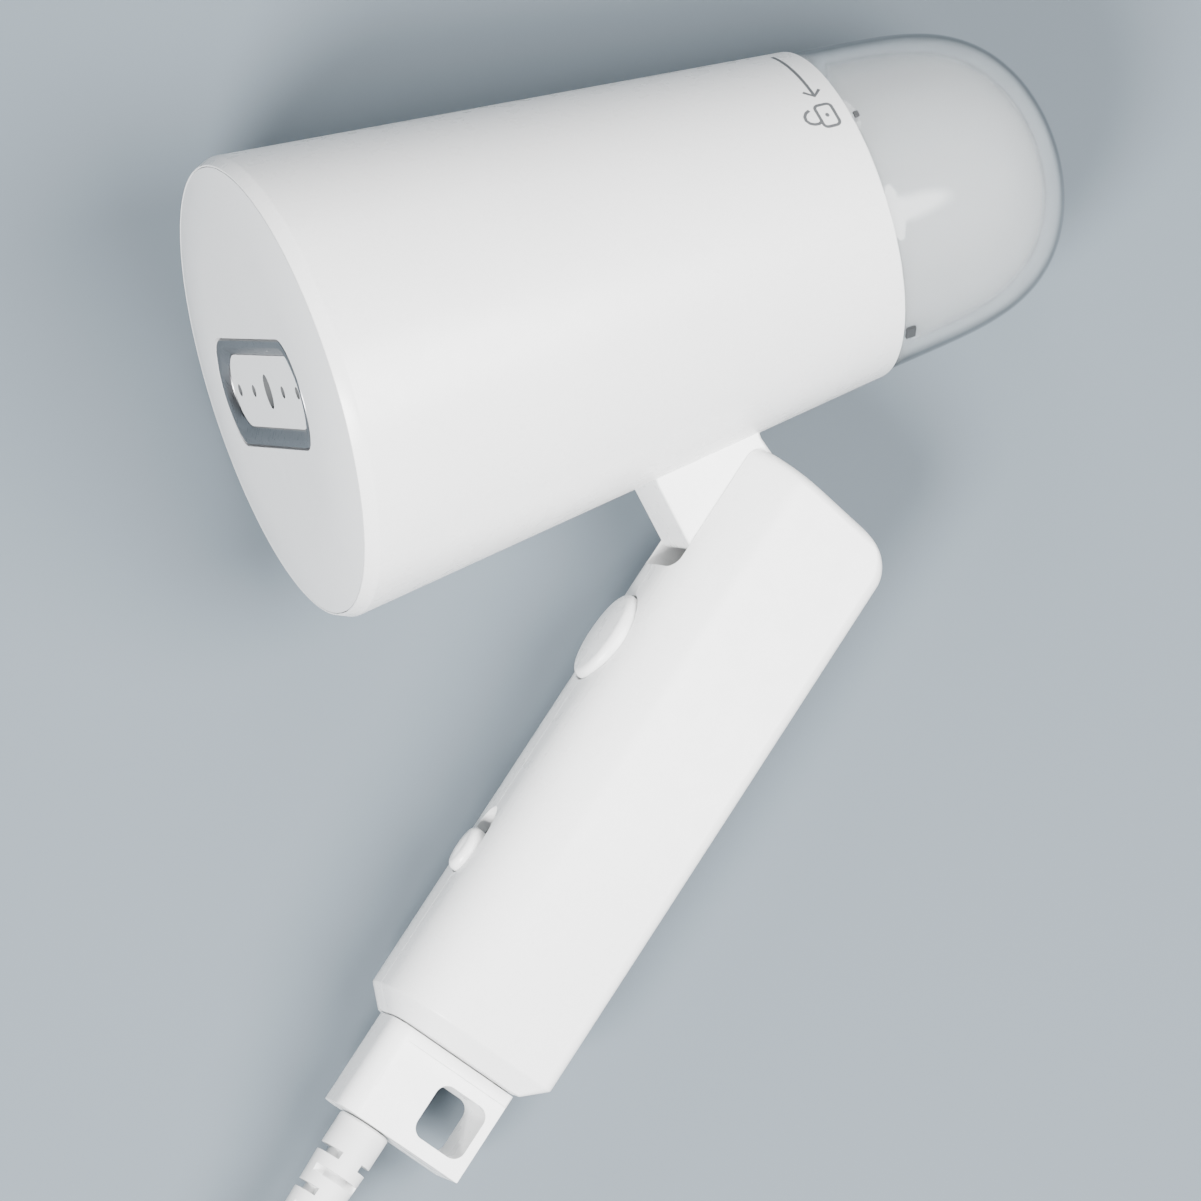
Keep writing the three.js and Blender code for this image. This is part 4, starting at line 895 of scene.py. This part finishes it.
def cap_rings(at, half_l, half_w, base, top, edge, crown, skirt, skirt_height):
    """Rings of a pushbutton or knob: a skirt inside the shell, straight sides, a round edge, a low crown."""
    rings = []
    for y, grow in ((base, skirt), (base + skirt_height, skirt), (base + skirt_height + 0.1 * MM, 0)):
        rings.append([(a, y, b) for a, b in oval_outline(at, half_l + grow, half_w + grow)])
    steps = 10
    for i in range(steps + 1):
        angle = i / steps * math.pi / 2
        inset = edge * (1 - math.cos(angle))
        y = top - crown - edge * (1 - math.sin(angle))
        rings.append([(a, y, b) for a, b in oval_outline(at, half_l - inset, half_w - inset)])
    for i in range(1, 9):
        t = i / 8
        shrink = max(1 - t, 0.01)
        rings.append([(a, top - crown * (1 - t) ** 2, b)
                      for a, b in oval_outline(at, (half_l - edge) * shrink, (half_w - edge) * shrink)])
    return rings


def make_button():
    rings = cap_rings(BUTTON_AT, BUTTON_HALF_L, BUTTON_HALF_W, BUTTON_BASE, GRIP_FRONT + BUTTON_RISE,
                      1.5 * MM, 0.5 * MM, MM, 0.7 * MM)
    add_piece("steam_button_skin", loft_mesh("steam_button_skin", rings), GRIP, "button", "white_shell",
              ("steam_button",), 60)


def make_knob():
    rings = cap_rings(KNOB_AT, KNOB_HALF_L, KNOB_HALF_W, KNOB_BASE, GRIP_FRONT + KNOB_RISE, 1.4 * MM,
                      0.4 * MM, 0.5 * MM, 1.4 * MM)
    add_piece("slider_knob_skin", loft_mesh("slider_knob_skin", rings), GRIP, "slider", "white_shell",
              ("slider_knob",), 60)


def make_hang_block():
    front_r, back_r = 4 * MM, 0.6 * MM
    section = (arc(BLOCK_FRONT - front_r, front_r - BLOCK_HALF, front_r, -90, 0, 12)
               + arc(BLOCK_FRONT - front_r, BLOCK_HALF - front_r, front_r, 0, 90, 12)
               + arc(BLOCK_BACK + back_r, BLOCK_HALF - back_r, back_r, 90, 180, 4)
               + arc(BLOCK_BACK + back_r, back_r - BLOCK_HALF, back_r, 180, 270, 4))
    body = prism("hang_block_skin", section, BLOCK_TOP, BLOCK_END, "x")
    x0, x1, y0, y1 = HANG_WINDOW
    body = boolean(body, prism("window_tool", rounded_box(x0, x1, y0, y1, HANG_CORNER_R), -0.02, 0.02, "z"))
    outline = rounded_box(BLOCK_TOP + BLOCK_LEDGE, 0.16, -0.06, RECESS_FRONT, 1.6 * MM)
    for low, high in ((BLOCK_HALF - RECESS_DEPTH, 0.02), (-0.02, RECESS_DEPTH - BLOCK_HALF)):
        body = boolean(body, prism("recess_tool", outline, low, high, "z"))
    stem = box_mesh("stem", (108.3 * MM, -19 * MM, -4.7 * MM), (BLOCK_TOP + MM, 2.2 * MM, 4.7 * MM))
    mesh = boolean(body, stem, "UNION")
    piece = add_piece("hang_block_skin", mesh, GRIP, "handle", "white_shell", ("hang_block",), 30)
    soften(piece, 0.3 * MM, 3, 40)


def make_screws():
    """Pan heads with a cross recess, seated in the right half."""
    for name, (x, y) in SCREWS.items():
        seat = SCREW_SEAT + 0.3 * MM
        rings = []
        for r, z in ((1.4, -11), (1.4, seat / MM), (2.9, seat / MM), (2.9, seat / MM + 1.4),
                     (2.5, seat / MM + 1.9), (1.6, seat / MM + 2.15), (0.02, seat / MM + 2.2)):
            rings.append([(x + r * MM * math.cos(i / 36 * math.tau), y + r * MM * math.sin(i / 36 * math.tau),
                           z * MM) for i in range(36)])
        mesh = loft_mesh(name + "_skin", rings)
        for half_x, half_y in ((1.6 * MM, 0.35 * MM), (0.35 * MM, 1.6 * MM)):
            mesh = boolean(mesh, box_mesh("cross", (x - half_x, y - half_y, seat + 1.1 * MM),
                                          (x + half_x, y + half_y, seat + 4 * MM)))
        add_piece(name + "_skin", mesh, GRIP, "handle", "steel", (name,))


# ---------- CAD nodes that stay: finishes and softened edges ----------
def finish_cad_nodes():
    slots = {part["node"]: part["material_slot"] for part in frame["record"]["subparts"]}
    for name, node in frame["nodes"].items():
        node.data.materials.clear()
        node.data.materials.append(FINISH[slots[name]])
        if not node.hide_render:
            soften(node, 0.2 * MM, 2, 40)


place_camera()
make_cord()
studio()
make_head_shell()
make_front_panel()
make_bezel()
make_nozzle_plate()
make_symbols()
make_fin()
make_tank()
make_grip()
make_button()
make_knob()
make_hang_block()
make_screws()
finish_cad_nodes()
